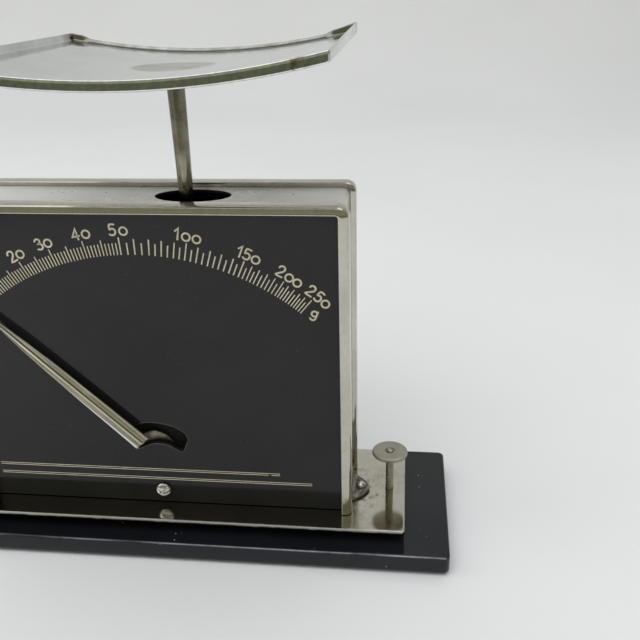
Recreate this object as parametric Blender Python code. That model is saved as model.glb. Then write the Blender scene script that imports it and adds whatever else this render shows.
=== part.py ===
"""Table letter scale, 0 to 250 g: a double-pendulum balance in a nickel case on a black slab.

Metres, +Z up. X runs along the slab, the dial faces -Y, and Z = 0 is the surface it stands on.
X = 0 is the case's centre plane and Y = 0 is the plane that the pan stem moves in.
"""

import math

import bmesh
import bpy
from mathutils import Vector

GAP = 0.0003                       # left between pieces that touch
PIN_FIT = 0.00025                  # left around a pin or shank in its hole

# Base slab and its pads
PAD_RADIUS = 0.0060
PAD_THICKNESS = 0.0010
PAD_INSET = (0.012, 0.011)
SLAB_HALF_X = 0.1050
SLAB_FRONT = -0.0302
SLAB_BACK = 0.0345
SLAB_BOTTOM = PAD_THICKNESS + GAP
SLAB_TOP = 0.0082
SLAB_CORNER = 0.0022

# Foot plate that carries the case, and what it stands on
PLATE_TOP = 0.0144
PLATE_THICKNESS = 0.0016
PLATE_BOTTOM = PLATE_TOP - PLATE_THICKNESS
PLATE_HALF_X = 0.0890
PLATE_HALF_Y = 0.0248
PLATE_CORNER = 0.0010
PIVOT_X = -0.0800
PIVOT_Y = 0.0160
LEVEL_X = 0.0831
LEVEL_HEAD_Z = 0.0307
LEVEL_HEAD_RADIUS = 0.0065
LEVEL_HEAD_THICKNESS = 0.0013
LEVEL_STEM_RADIUS = 0.00147
HOLD_DOWN_X = -0.0580

# Case: sheet band between a front bezel and a rear rim, all open at the foot
CASE_FOOT = PLATE_TOP + GAP
BAND_HALF_X = 0.06805
BAND_TOP = 0.1280
BAND_SHEET = 0.0010
BAND_CORNER = 0.0024
BAND_FRONT = -0.0143
BAND_BACK = 0.0136
BEZEL_INNER_X = 0.0662
BEZEL_INNER_TOP = 0.1264
BEZEL_OUTER_X = 0.0699
BEZEL_OUTER_TOP = 0.1293
BEZEL_CREST_Y = -0.0177
BEZEL_REAR_Y = -0.0116
RIM_INNER_X = 0.0650
RIM_INNER_TOP = 0.1260
RIM_OUTER_X = 0.0702
RIM_OUTER_TOP = 0.1296
RIM_FRONT_Y = 0.0108
RIM_REAR_Y = 0.0176
TOP_SLOT_X = 0.0174
TOP_SLOT_HALF_X = 0.0128
TOP_SLOT_HALF_Y = 0.0076
LUG_Y = -0.0016
LUG_HALF_Y = 0.0080
LUG_REACH = 0.0074
LUG_THICKNESS = 0.0012
LUG_SCREW_OUT = 0.0042             # screw's distance from the band
LUG_HEAD = 0.0019
LEAF_THICKNESS = 0.0009
LEAF_HEIGHT = 0.0085
LEAF_HALF_Y = 0.0062

# Dial
DIAL_FRONT = -0.0145
DIAL_THICKNESS = 0.0015
DIAL_BACK = DIAL_FRONT + DIAL_THICKNESS
DIAL_HALF_X = 0.0666
DIAL_TOP = 0.1267
DIAL_CORNER = 0.0012
# Arc slot's outline runs smoothly through these: distance from the hand's axle, and degrees from
# straight up, clockwise seen from the front
ARC_SLOT = (
    (0.0202, -36.5), (0.0208, -22.0), (0.0208, -6.0), (0.0203, 15.0), (0.0196, 30.0), (0.0180, 38.4),
    (0.0152, 41.5), (0.0130, 45.3), (0.0117, 39.0), (0.0119, 16.0), (0.0119, -8.0), (0.0118, -33.0),
    (0.0123, -42.2), (0.0142, -42.4), (0.0180, -40.0))
FRONT_SCREW_Z = PLATE_TOP + 0.0059
FRONT_SCREW_HEAD = 0.0028
FRONT_SCREW_SHANK = 0.0012
SPACER_BORE = 0.0015

# Balance: two equal arms, one over the other, keep the stem upright
LOWER_Z = PLATE_TOP + 0.0139       # pointer axle, the dial's centre
UPPER_Z = LOWER_Z + 0.0580         # pendulum axle
ARM = 0.0120
SWING = 79.9                       # degrees from 0 g to 250 g
REST_ANGLE = SWING / 2             # of the arms above level at 0 g
STEM_X = 0.0152
AXLE_RADIUS = 0.0015
PIN_RADIUS = 0.0011
PENDULUM_REST = 23.5               # degrees to the left of straight down
PENDULUM_LENGTH = 0.0440
PENDULUM_WEIGHT_RADIUS = 0.0180
AUXILIARY_LENGTH = 0.0360
AUXILIARY_WEIGHT_RADIUS = 0.0130

# Hand: a strip in front of the dial, creased along its length so that its lower flange slopes back
# to the dial, and joined to the axle by a neck through the dial's arc slot
POINTER_FRONT = -0.0172
POINTER_SHEET = 0.0006
POINTER_TAIL = (-0.0043, LOWER_Z + 0.0131)
POINTER_HEADING = -44.5            # degrees from straight up at 0 g
POINTER_LENGTH = 0.0719
POINTER_FACE = 0.0030              # from the centre line to the upper edge
POINTER_CREASE = -0.0004
POINTER_FLANGE = -0.0046
POINTER_FLANGE_FRONT = -0.0156
NECK_RADII = (0.0124, 0.0140)
NECK_ANGLE = -38.8
NECK_THICKNESS = 0.0008
HUB_RADIUS = 0.0046

# Layers of the works from front to back, each (front, back)
HUB_LAYER = (-0.0122, -0.0110)
FRONT_FRAME = (-0.0098, -0.0084)
LINK_LAYER = (-0.0079, -0.0067)
CARRIER_LAYER = (-0.0063, -0.0051)
PENDULUM_LAYER = (-0.0044, -0.0032)
PENDULUM_WEIGHT_LAYER = (-0.0029, 0.0031)
AUXILIARY_WEIGHT_LAYER = (0.0036, 0.0092)
AUXILIARY_LAYER = (0.0095, 0.0107)
REAR_FRAME = (0.0114, 0.0127)
COVER_LAYER = (0.0144, 0.0152)
COVER_HALF_X = 0.0666
COVER_TOP = 0.1268
COVER_SCREW_X = 0.0600
COVER_SCREW_Z = 0.0700
FRAME_HALF_X = 0.0200
FRAME_FOOT = PLATE_TOP + GAP
FRAME_TOP = UPPER_Z + 0.0160

# Letter pan
PAN_HALF_X = 0.0531
PAN_HALF_Y = 0.0518
PAN_FLOOR = 0.1675                 # underside of the floor at the middle of its curve
PAN_SHEET = 0.0008
PAN_RIM = 0.0030
PAN_CURVE_X = 0.0120
PAN_CURVE = 0.2450
PAN_LEAN = 0.0106
PAN_CORNER = 0.0035
FLANGE_RADIUS = 0.0130
FLANGE_THICKNESS = 0.0012
STEM_FOOT_RADIUS = 0.00205
STEM_TOP_RADIUS = 0.00285

# Screws: shank radius, and the radius of the plain hole one passes through
SHANK = 0.0011
SHANK_HOLE = 0.0014
HOLD_DOWN_SHANK = 0.0015
HOLD_DOWN_HOLE = 0.00175
STUD = 0.0013                      # threaded end of the stem

ROUND = 16                         # segments of a small round piece
FINE = 40                          # segments of a large one


# ---------------------------------------------------------------- helpers

def clear_scene():
    for old in list(bpy.data.objects):
        bpy.data.objects.remove(old)


def material(name, colour, roughness, metallic):
    made = bpy.data.materials.new(name)
    made.use_nodes = True
    shader = made.node_tree.nodes["Principled BSDF"]
    shader.inputs["Base Color"].default_value = (*colour, 1.0)
    shader.inputs["Roughness"].default_value = roughness
    shader.inputs["Metallic"].default_value = metallic
    return made


FINISHES = {
    "slab_black": ((0.010, 0.010, 0.011), 0.08, 0.0),
    "dial_black": ((0.016, 0.016, 0.017), 0.15, 0.0),
    "nickel": ((0.62, 0.60, 0.54), 0.18, 1.0),
    "pan_nickel": ((0.72, 0.72, 0.70), 0.12, 1.0),
    "steel": ((0.45, 0.44, 0.42), 0.35, 1.0),
    "rusted_steel": ((0.20, 0.12, 0.07), 0.70, 0.6),
    "brass": ((0.66, 0.50, 0.24), 0.35, 1.0),
    "rubber": ((0.03, 0.03, 0.03), 0.85, 0.0),
}


def empty(name, place, parent=None):
    made = bpy.data.objects.new(name, None)
    bpy.context.scene.collection.objects.link(made)
    made.location = Vector(place) - (Vector(parent["place"]) if parent else Vector())
    made["place"] = list(place)
    made.parent = parent
    return made


def solid(name, bm, finish, parent=None):
    """Makes an object of a closed mesh in world coordinates; its origin goes to its parent's place."""
    bmesh.ops.remove_doubles(bm, verts=bm.verts, dist=1e-7)
    bmesh.ops.recalc_face_normals(bm, faces=bm.faces)
    place = Vector(parent["place"]) if parent else Vector()
    bmesh.ops.translate(bm, verts=bm.verts, vec=-place)
    mesh = bpy.data.meshes.new(name)
    bm.to_mesh(mesh)
    bm.free()
    mesh.shade_smooth()
    mesh.set_sharp_from_angle(angle=math.radians(35))
    mesh.materials.append(bpy.data.materials[finish])
    made = bpy.data.objects.new(name, mesh)
    bpy.context.scene.collection.objects.link(made)
    made.parent = parent
    return made


def cutter(bm, name):
    """A hidden shape that a Boolean takes away."""
    bmesh.ops.recalc_face_normals(bm, faces=bm.faces)
    mesh = bpy.data.meshes.new(name)
    bm.to_mesh(mesh)
    bm.free()
    made = bpy.data.objects.new(name, mesh)
    bpy.context.scene.collection.objects.link(made)
    made.hide_render = True
    made.display_type = "WIRE"
    return made


def cut(target, *shapes):
    for number, shape in enumerate(shapes):
        tool = cutter(shape, f"cut_{target.name}_{number}")
        step = target.modifiers.new(f"cut_{number}", "BOOLEAN")
        step.operation = "DIFFERENCE"
        step.solver = "EXACT"
        step.object = tool
    return target


def weld_local(target, parent, shape):
    """Joins a shape given in world coordinates to a piece whose origin is at its parent's place."""
    tool = cutter(shape, f"weld_{target.name}")
    tool.parent = parent
    tool.location = -Vector(parent["place"])
    step = target.modifiers.new("weld", "BOOLEAN")
    step.operation = "UNION"
    step.solver = "EXACT"
    step.object = tool


def cut_local(target, parent, shapes):
    """Cuts shapes given in world coordinates from a piece whose origin is at its parent's place."""
    made = cut(target, *shapes)
    for step in made.modifiers:
        if step.type == "BOOLEAN" and step.operation == "DIFFERENCE":
            step.object.parent = parent
            step.object.location = -Vector(parent["place"])
    return made


def join_rings(rings, closed=False):
    """A closed body whose cross-sections are the rings: capped at both ends, or joined end to end."""
    bm = bmesh.new()
    loops = [[bm.verts.new(p) for p in ring] for ring in rings]
    pairs = list(zip(loops, loops[1:] + loops[:1])) if closed else list(zip(loops, loops[1:]))
    for one, two in pairs:
        count = len(one)
        for i in range(count):
            bm.faces.new((one[i], one[(i + 1) % count], two[(i + 1) % count], two[i]))
    if not closed:
        bm.faces.new(loops[0][::-1])
        bm.faces.new(loops[-1])
    return bm


def slab_xz(outline, y_low, y_high):
    """An outline of (x, z) points, as thick as from y_low to y_high."""
    return join_rings([[(x, y, z) for x, z in outline] for y in (y_low, y_high)])


def slab_xy(outline, z_low, z_high):
    return join_rings([[(x, y, z) for x, y in outline] for z in (z_low, z_high)])


def turned(profile, centre, axis="Z", segments=ROUND, hollow=False):
    """Turns (radius, height) points about an axis: a capped bar, or a ring when they are a closed loop."""
    rings = []
    for radius, height in profile:
        ring = []
        for i in range(segments):
            angle = 2 * math.pi * i / segments
            a, b = radius * math.cos(angle), radius * math.sin(angle)
            offset = (a, b, height) if axis == "Z" else (a, height, b)
            ring.append(Vector(centre) + Vector(offset))
        rings.append(ring)
    return join_rings(rings, hollow)


def pin(centre, radius, low, high, axis="Y", segments=ROUND):
    """A round bar along an axis; low and high are coordinates on that axis."""
    base = Vector(centre)
    base["XYZ".index(axis)] = 0.0
    return turned([(radius, low), (radius, high)], base, axis, segments)


def arc(centre, radius, start, stop, steps):
    """Points on an arc; angles in degrees, counter-clockwise from the first axis."""
    points = []
    for i in range(steps + 1):
        angle = math.radians(start + (stop - start) * i / steps)
        points.append((centre[0] + radius * math.cos(angle), centre[1] + radius * math.sin(angle)))
    return points


def rounded_rectangle(x_low, y_low, x_high, y_high, radius, steps=4):
    corners = ((x_high, y_high, 0), (x_low, y_high, 90), (x_low, y_low, 180), (x_high, y_low, 270))
    points = []
    for x, y, start in corners:
        centre = (x - math.copysign(radius, x - (x_low + x_high) / 2),
                  y - math.copysign(radius, y - (y_low + y_high) / 2))
        points += arc(centre, radius, start, start + 90, steps)
    return points


def bar_outline(start, end, radius_start, radius_end, steps=8):
    """The outline of a flat link with round ends about two points."""
    heading = math.degrees(math.atan2(end[1] - start[1], end[0] - start[0]))
    tail = arc(start, radius_start, heading + 90, heading + 270, steps)
    return tail + arc(end, radius_end, heading - 90, heading + 90, steps)


def clock(centre, radius, degrees):
    """The (x, z) point at a clock angle: degrees clockwise from straight up, seen from the front."""
    angle = math.radians(degrees)
    return (centre[0] + radius * math.sin(angle), centre[1] + radius * math.cos(angle))


def dome(radius, height, seat, steps=5):
    """Profile of a round head on a seat; a negative height points it the other way."""
    turns = [math.pi / 2 * i / steps for i in range(steps + 1)]
    crown = radius * 0.12
    return [(max(radius * math.cos(t), crown), seat + height * math.sin(t)) for t in turns]


def smooth_loop(points, steps):
    """A closed Catmull-Rom curve through (x, z) points."""
    found = []
    count = len(points)
    for i in range(count):
        before, here, after, beyond = (points[(i + k) % count] for k in (-1, 0, 1, 2))
        for k in range(steps):
            t = k / steps
            found.append(tuple(0.5 * (2 * b + (c - a) * t + (2 * a - 5 * b + 4 * c - d) * t * t
                                      + (3 * b - a - 3 * c + d) * t ** 3)
                               for a, b, c, d in zip(before, here, after, beyond)))
    return found


def hexagon(centre, across, turn=0.0):
    radius = across / 2 / math.cos(math.pi / 6)
    return [(centre[0] + radius * math.cos(math.radians(60 * i + turn)),
             centre[1] + radius * math.sin(math.radians(60 * i + turn))) for i in range(6)]


# ---------------------------------------------------------------- base

def build_base():
    outline = rounded_rectangle(-SLAB_HALF_X, SLAB_FRONT, SLAB_HALF_X, SLAB_BACK, SLAB_CORNER)
    slab = solid("base_slab", slab_xy(outline, SLAB_BOTTOM, SLAB_TOP), "slab_black")
    bevel = slab.modifiers.new("polished_edge", "BEVEL")
    bevel.width = 0.0006
    bevel.segments = 2
    bevel.limit_method = "ANGLE"
    bevel.angle_limit = math.radians(50)
    cut(slab,
        pin((HOLD_DOWN_X, 0, 0), 0.0024, -0.01, 0.02, "Z"),
        pin((HOLD_DOWN_X, 0, 0), 0.0042, -0.01, 0.0048, "Z"))
    middle = (SLAB_FRONT + SLAB_BACK) / 2
    depth = (SLAB_BACK - SLAB_FRONT) / 2 - PAD_INSET[1]
    width = SLAB_HALF_X - PAD_INSET[0]
    corners = ((-1, -1), (1, -1), (1, 1), (-1, 1))
    for number, (side_x, side_y) in enumerate(corners, 1):
        centre = (side_x * width, middle + side_y * depth, 0)
        solid(f"foot_pad_{number}", pin(centre, PAD_RADIUS, 0.0, PAD_THICKNESS, "Z"), "rubber")


# ---------------------------------------------------------------- foot plate and levelling

def build_foot_plate(chassis):
    outline = rounded_rectangle(-PLATE_HALF_X, -PLATE_HALF_Y, PLATE_HALF_X, PLATE_HALF_Y, PLATE_CORNER)
    plate = solid("foot_plate", slab_xy(outline, PLATE_BOTTOM, PLATE_TOP), "nickel", chassis)
    holes = [pin((LEVEL_X, 0, 0), LEVEL_STEM_RADIUS + GAP, 0.0, 0.03, "Z"),
             pin((HOLD_DOWN_X, 0, 0), HOLD_DOWN_HOLE, 0.0, 0.03, "Z")]
    for side in (-1, 1):
        holes.append(pin((side * lug_screw_x(), LUG_Y, 0), SHANK_HOLE, 0.0, 0.03, "Z"))
        holes.append(pin((PIVOT_X, side * PIVOT_Y, 0), 0.0013, 0.0, 0.03, "Z"))
    for spot in frame_screw_places():
        holes.append(pin((spot[0], spot[1], 0), 0.0013, 0.0, 0.03, "Z"))
    cut_local(plate, chassis, holes)
    for side, word in ((-1, "front"), (1, "rear")):
        profile = [(0.0004, SLAB_TOP + GAP), (0.0018, SLAB_TOP + 0.0010), (0.0026, SLAB_TOP + 0.0022),
                   (0.0026, PLATE_BOTTOM - GAP), (0.0010, PLATE_BOTTOM - GAP), (0.0010, PLATE_TOP + 0.0002),
                   (0.0006, PLATE_TOP + 0.0004)]
        solid(f"pivot_foot_{word}", turned(profile, (PIVOT_X, side * PIVOT_Y, 0)), "steel", chassis)
    bore = LEVEL_STEM_RADIUS + PIN_FIT
    bush = ((bore, PLATE_BOTTOM - GAP), (0.0040, PLATE_BOTTOM - GAP), (0.0040, PLATE_BOTTOM - 0.0022),
            (bore, PLATE_BOTTOM - 0.0022))
    solid("levelling_bush", turned(bush, (LEVEL_X, 0, 0), hollow=True), "nickel", chassis)
    head = [(0.0038, 0.0020), (0.0038, 0.0042), (HOLD_DOWN_SHANK, 0.0042),
            (HOLD_DOWN_SHANK, PLATE_TOP + 0.0030)]
    solid("hold_down_screw", turned(head, (HOLD_DOWN_X, 0, 0)), "steel", chassis)
    nut = slab_xy(hexagon((HOLD_DOWN_X, 0), 0.0055), PLATE_TOP + GAP, PLATE_TOP + 0.0024)
    made = solid("hold_down_nut", nut, "steel", chassis)
    cut_local(made, chassis, [pin((HOLD_DOWN_X, 0, 0), HOLD_DOWN_SHANK + PIN_FIT, 0.0, 0.03, "Z")])


def build_levelling(stem_parent, head_parent):
    low = SLAB_TOP + GAP
    top = LEVEL_HEAD_Z - LEVEL_HEAD_THICKNESS / 2 - GAP
    profile = [(0.0005, low), (LEVEL_STEM_RADIUS, low + 0.0009), (LEVEL_STEM_RADIUS, top)]
    solid("levelling_screw", turned(profile, (LEVEL_X, 0, 0), segments=16), "steel", stem_parent)
    bottom = LEVEL_HEAD_Z - LEVEL_HEAD_THICKNESS / 2
    lid = LEVEL_HEAD_Z + LEVEL_HEAD_THICKNESS / 2
    edge = 0.0003
    profile = [(LEVEL_HEAD_RADIUS - edge, bottom), (LEVEL_HEAD_RADIUS, bottom + edge),
               (LEVEL_HEAD_RADIUS, lid - edge), (LEVEL_HEAD_RADIUS - edge, lid),
               (0.0016, lid), (0.0015, lid + 0.0004), (0.0009, lid + 0.0007)]
    solid("levelling_knob", turned(profile, (LEVEL_X, 0, 0), segments=FINE), "nickel", head_parent)


# ---------------------------------------------------------------- case

def inverted_u(half_x, top, radius, foot, steps=6):
    """Path of (x, z) points up one side, over the top and down the other, with round corners."""
    path = [(half_x, foot)]
    path += arc((half_x - radius, top - radius), radius, 0, 90, steps)
    path += arc((-half_x + radius, top - radius), radius, 90, 180, steps)
    path.append((-half_x, foot))
    return path


def moulding(inner, outer, section):
    """Sweeps a section of (share from inner to outer edge, y) points along an inverted U."""
    rings = []
    for (xi, zi), (xo, zo) in zip(inner, outer):
        rings.append([(xi + (xo - xi) * share, y, zi + (zo - zi) * share) for share, y in section])
    return join_rings(rings)


def lug_screw_x():
    return BAND_HALF_X + LUG_SCREW_OUT


def build_case(chassis):
    outer = inverted_u(BAND_HALF_X, BAND_TOP, BAND_CORNER, CASE_FOOT)
    inner = inverted_u(BAND_HALF_X - BAND_SHEET, BAND_TOP - BAND_SHEET, BAND_CORNER - BAND_SHEET, CASE_FOOT)
    band = solid("case_band", slab_xz(outer + inner[::-1], BAND_FRONT, BAND_BACK), "nickel", chassis)
    slot = []
    for i in range(32):
        angle = 2 * math.pi * i / 32
        slot.append((TOP_SLOT_X + TOP_SLOT_HALF_X * math.cos(angle), TOP_SLOT_HALF_Y * math.sin(angle)))
    cut_local(band, chassis, [slab_xy(slot, BAND_TOP - 0.006, BAND_TOP + 0.006)])

    inner = inverted_u(BEZEL_INNER_X, BEZEL_INNER_TOP, 0.0006, CASE_FOOT)
    outer = inverted_u(BEZEL_OUTER_X, BEZEL_OUTER_TOP, 0.0042, CASE_FOOT)
    lip = 0.62                     # share of the width that lies in front of the dial and band
    section = [(0.0, -0.0150), (0.0, -0.0158), (0.14, -0.0168), (0.36, -0.0175), (0.55, BEZEL_CREST_Y),
               (0.78, -0.0172), (0.93, -0.0160), (1.0, -0.0144), (1.0, BEZEL_REAR_Y),
               (lip + 0.10, BEZEL_REAR_Y), (lip + 0.10, -0.0150)]
    solid("front_bezel", moulding(inner, outer, section), "nickel", chassis)

    inner = inverted_u(RIM_INNER_X, RIM_INNER_TOP, 0.0004, CASE_FOOT)
    outer = inverted_u(RIM_OUTER_X, RIM_OUTER_TOP, 0.0030, CASE_FOOT)
    clear = (BAND_HALF_X + GAP - RIM_INNER_X) / (RIM_OUTER_X - RIM_INNER_X)
    pocket = (COVER_HALF_X + 2 * GAP - RIM_INNER_X) / (RIM_OUTER_X - RIM_INNER_X)
    section = [(clear, BAND_BACK + GAP), (clear, RIM_FRONT_Y),
               (0.93, RIM_FRONT_Y), (1.0, RIM_FRONT_Y + 0.0012),
               (1.0, RIM_REAR_Y - 0.0022), (0.86, RIM_REAR_Y - 0.0009), (0.62, RIM_REAR_Y),
               (0.30, RIM_REAR_Y - 0.0004), (0.06, RIM_REAR_Y - 0.0014), (0.0, RIM_REAR_Y - 0.0020),
               (0.0, COVER_LAYER[1] + GAP), (pocket, COVER_LAYER[1] + GAP), (pocket, BAND_BACK + GAP)]
    solid("rear_rim", moulding(inner, outer, section), "nickel", chassis)

    for side, word in ((-1, "left"), (1, "right")):
        build_lug(chassis, side, word)


def build_lug(chassis, side, word):
    """An angle at the case's foot: a rounded tongue outside, a leaf up the side, its screw and nut."""
    near = BAND_HALF_X + GAP
    tip = near + LUG_REACH
    floor = PLATE_TOP + GAP
    tongue = [(near, -LUG_HALF_Y), (near + 0.0030, -LUG_HALF_Y + 0.0012), (tip - 0.0022, -0.0044),
              (tip - 0.0005, -0.0020), (tip, 0.0), (tip - 0.0005, 0.0020), (tip - 0.0022, 0.0044),
              (near + 0.0030, LUG_HALF_Y - 0.0012), (near, LUG_HALF_Y)]
    outline = [(side * x, y + LUG_Y) for x, y in tongue]
    lug = solid(f"case_lug_{word}", slab_xy(outline, floor, floor + LUG_THICKNESS), "rusted_steel", chassis)
    low, high = sorted((side * near, side * (near + LEAF_THICKNESS)))
    leaf = [(-LEAF_HALF_Y, floor + 0.0004), (LEAF_HALF_Y, floor + 0.0004), (LEAF_HALF_Y, floor + 0.0030),
            (0.0022, floor + LEAF_HEIGHT), (-0.0022, floor + LEAF_HEIGHT), (-LEAF_HALF_Y, floor + 0.0030)]
    weld_local(lug, chassis, join_rings([[(x, y + LUG_Y, z) for y, z in leaf] for x in (low, high)]))
    x = side * lug_screw_x()
    cut_local(lug, chassis, [pin((x, LUG_Y, 0), SHANK_HOLE, 0.0, 0.03, "Z")])
    seat = floor + LUG_THICKNESS + GAP
    profile = [(SHANK, PLATE_BOTTOM - 0.0030), (SHANK, seat), (LUG_HEAD, seat)]
    profile += dome(LUG_HEAD, 0.0011, seat + 0.0003)
    solid(f"lug_screw_{word}", turned(profile, (x, LUG_Y, 0)), "rusted_steel", chassis)
    nut = slab_xy(hexagon((x, LUG_Y), 0.0045), PLATE_BOTTOM - 0.0022, PLATE_BOTTOM - GAP)
    made = solid(f"lug_nut_{word}", nut, "steel", chassis)
    cut_local(made, chassis, [pin((x, LUG_Y, 0), SHANK + PIN_FIT, 0.0, 0.03, "Z")])


def arc_slot_outline():
    return smooth_loop([clock((0.0, LOWER_Z), radius, angle) for radius, angle in ARC_SLOT], 3)


def build_dial(chassis):
    outline = inverted_u(DIAL_HALF_X, DIAL_TOP, DIAL_CORNER, CASE_FOOT, 3)
    dial = solid("dial_plate", slab_xz(outline, DIAL_FRONT, DIAL_BACK), "dial_black", chassis)
    cut_local(dial, chassis, [slab_xz(arc_slot_outline(), -0.02, -0.01),
                              pin((0, 0, FRONT_SCREW_Z), SPACER_BORE, -0.02, -0.01)])
    seat = DIAL_FRONT - GAP
    profile = [(FRONT_SCREW_SHANK, FRONT_FRAME[0] + 0.0010), (FRONT_SCREW_SHANK, seat),
               (FRONT_SCREW_HEAD, seat)]
    profile += dome(FRONT_SCREW_HEAD, -0.0015, seat - 0.0003)
    screw = solid("front_screw", turned(profile, (0, 0, FRONT_SCREW_Z), "Y", 24), "steel", chassis)
    groove = rounded_rectangle(-0.0040, FRONT_SCREW_Z - 0.00035, 0.0040, FRONT_SCREW_Z + 0.00035, 0.0001, 1)
    cut_local(screw, chassis, [slab_xz(groove, seat - 0.0040, seat - 0.0009)])
    near, far = DIAL_BACK + GAP, FRONT_FRAME[0] - GAP
    loop = [(SPACER_BORE, near), (0.0023, near), (0.0023, far), (SPACER_BORE, far)]
    solid("dial_spacer", turned(loop, (0, 0, FRONT_SCREW_Z), "Y", hollow=True), "brass", chassis)


def cover_screw_places():
    return [(x, COVER_SCREW_Z) for x in (-COVER_SCREW_X, COVER_SCREW_X)]


def build_rear_cover(chassis):
    outline = inverted_u(COVER_HALF_X, COVER_TOP, DIAL_CORNER, CASE_FOOT, 3)
    cover = solid("rear_cover", slab_xz(outline, *COVER_LAYER), "nickel", chassis)
    cut_local(cover, chassis, [pin((x, 0, z), SHANK_HOLE, 0.005, 0.02) for x, z in cover_screw_places()])
    for number, (x, z) in enumerate(cover_screw_places(), 1):
        seat = COVER_LAYER[1] + GAP
        profile = [(SHANK, seat - 0.0060), (SHANK, seat), (0.0023, seat)]
        profile += dome(0.0023, 0.0010, seat + 0.0002)
        solid(f"cover_screw_{number}", turned(profile, (x, 0, z), "Y"), "steel", chassis)
        post = solid(f"cover_post_{number}", post_block(x, z), "steel", chassis)
        cut_local(post, chassis, [pin((x, 0, z), SHANK + PIN_FIT, seat - 0.0070, 0.02)])


def post_block(x, z):
    """A square post soldered inside the band, which a cover screw bites into."""
    wall = math.copysign(BAND_HALF_X - BAND_SHEET - GAP, x)
    inner = x - math.copysign(0.0030, x)
    low, high = sorted((wall, inner))
    return slab_xz([(low, z - 0.003), (high, z - 0.003), (high, z + 0.003), (low, z + 0.003)],
                   0.0060, COVER_LAYER[0] - GAP)


# ---------------------------------------------------------------- frame of the works

def frame_screw_places():
    return [(-0.0140, -0.0055), (0.0300, 0.0085)]


def build_frame(chassis):
    pillars = [(-0.0150, UPPER_Z + 0.0115), (-0.0150, PLATE_TOP + 0.0085), (0.0300, PLATE_TOP + 0.0110)]
    outline = [(-FRAME_HALF_X, FRAME_FOOT), (0.0350, FRAME_FOOT), (0.0350, FRAME_FOOT + 0.0160),
               (0.0100, UPPER_Z + 0.0080), (-0.0060, FRAME_TOP), (-FRAME_HALF_X, FRAME_TOP)]
    for name, layer in (("frame_front_plate", FRONT_FRAME), ("frame_rear_plate", REAR_FRAME)):
        plate = solid(name, slab_xz(outline, *layer), "steel", chassis)
        low, high = layer[0] - 0.001, layer[1] + 0.001
        holes = [pin((0, 0, z), AXLE_RADIUS + GAP, low, high) for z in (LOWER_Z, UPPER_Z)]
        holes += [pin((x, 0, z), 0.0012 + PIN_FIT, low, high) for x, z in pillars]
        if layer == FRONT_FRAME:
            holes.append(pin((0, 0, FRONT_SCREW_Z), SPACER_BORE, low, high))
        cut_local(plate, chassis, holes)
    for number, (x, z) in enumerate(pillars, 1):
        neck = 0.0012
        profile = [(neck, FRONT_FRAME[0] - 0.0004), (neck, FRONT_FRAME[1] + GAP),
                   (0.0025, FRONT_FRAME[1] + GAP),
                   (0.0025, REAR_FRAME[0] - GAP), (neck, REAR_FRAME[0] - GAP), (neck, REAR_FRAME[1] + 0.0004)]
        solid(f"frame_pillar_{number}", turned(profile, (x, 0, z), "Y"), "steel", chassis)
    for number, (x, y) in enumerate(frame_screw_places(), 1):
        side = -1 if y < 0 else 1
        wall = FRONT_FRAME[1] if side < 0 else REAR_FRAME[0]
        low, high = (wall + GAP, y + 0.0026) if side < 0 else (y - 0.0026, wall - GAP)
        block = slab_xy([(x - 0.0032, low), (x + 0.0032, low), (x + 0.0032, high), (x - 0.0032, high)],
                        FRAME_FOOT, FRAME_FOOT + 0.0042)
        made = solid(f"frame_foot_{number}", block, "steel", chassis)
        cut_local(made, chassis, [pin((x, y, 0), 0.0010 + PIN_FIT, 0.0, 0.03, "Z")])
        profile = [(0.0022, PLATE_BOTTOM - 0.0014), (0.0022, PLATE_BOTTOM - GAP),
                   (0.0010, PLATE_BOTTOM - GAP),
                   (0.0010, FRAME_FOOT + 0.0036)]
        solid(f"frame_screw_{number}", turned(profile, (x, y, 0), segments=16), "steel", chassis)


# ---------------------------------------------------------------- balance

def arm_end(z, angle=REST_ANGLE):
    return (ARM * math.cos(math.radians(angle)), z + ARM * math.sin(math.radians(angle)))


def build_pendulum(pivot):
    axis = (0.0, UPPER_Z)
    solid("pendulum_axle", pin((0, 0, UPPER_Z), AXLE_RADIUS, FRONT_FRAME[0] - 0.0006, REAR_FRAME[1] + 0.0006),
          "steel", pivot)
    bore = AXLE_RADIUS + PIN_FIT
    pin_hole = PIN_RADIUS + PIN_FIT
    lever = solid("pendulum_lever", slab_xz(bar_outline(axis, arm_end(UPPER_Z), 0.0040, 0.0026), *LINK_LAYER),
                  "steel", pivot)
    tip = arm_end(UPPER_Z)
    cut_local(lever, pivot, [pin((0, 0, UPPER_Z), bore, -0.01, 0.0),
                             pin((tip[0], 0, tip[1]), pin_hole, -0.01, 0.0)])
    spot = clock(axis, PENDULUM_LENGTH, 180 + PENDULUM_REST)
    rod_end = clock(axis, PENDULUM_LENGTH + 0.006, 180 + PENDULUM_REST)
    rod = slab_xz(bar_outline(axis, rod_end, 0.0042, 0.0032), *PENDULUM_LAYER)
    arm = solid("pendulum_arm", rod, "steel", pivot)
    cut_local(arm, pivot, [pin((0, 0, UPPER_Z), bore, -0.01, 0.0),
                           pin((spot[0], 0, spot[1]), SHANK_HOLE, -0.01, 0.0)])
    weight = pin((spot[0], 0, spot[1]), PENDULUM_WEIGHT_RADIUS, *PENDULUM_WEIGHT_LAYER, segments=FINE)
    made = solid("pendulum_weight", weight, "brass", pivot)
    cut_local(made, pivot, [pin((spot[0], 0, spot[1]), SHANK_HOLE, -0.006, 0.0015)])
    seat = PENDULUM_LAYER[0] - GAP
    profile = [(SHANK, 0.0005), (SHANK, seat), (0.0024, seat), (0.0024, seat - 0.0010),
               (0.0018, seat - 0.0013)]
    solid("pendulum_weight_screw", turned(profile, (spot[0], 0, spot[1]), "Y"), "steel", pivot)


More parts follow.
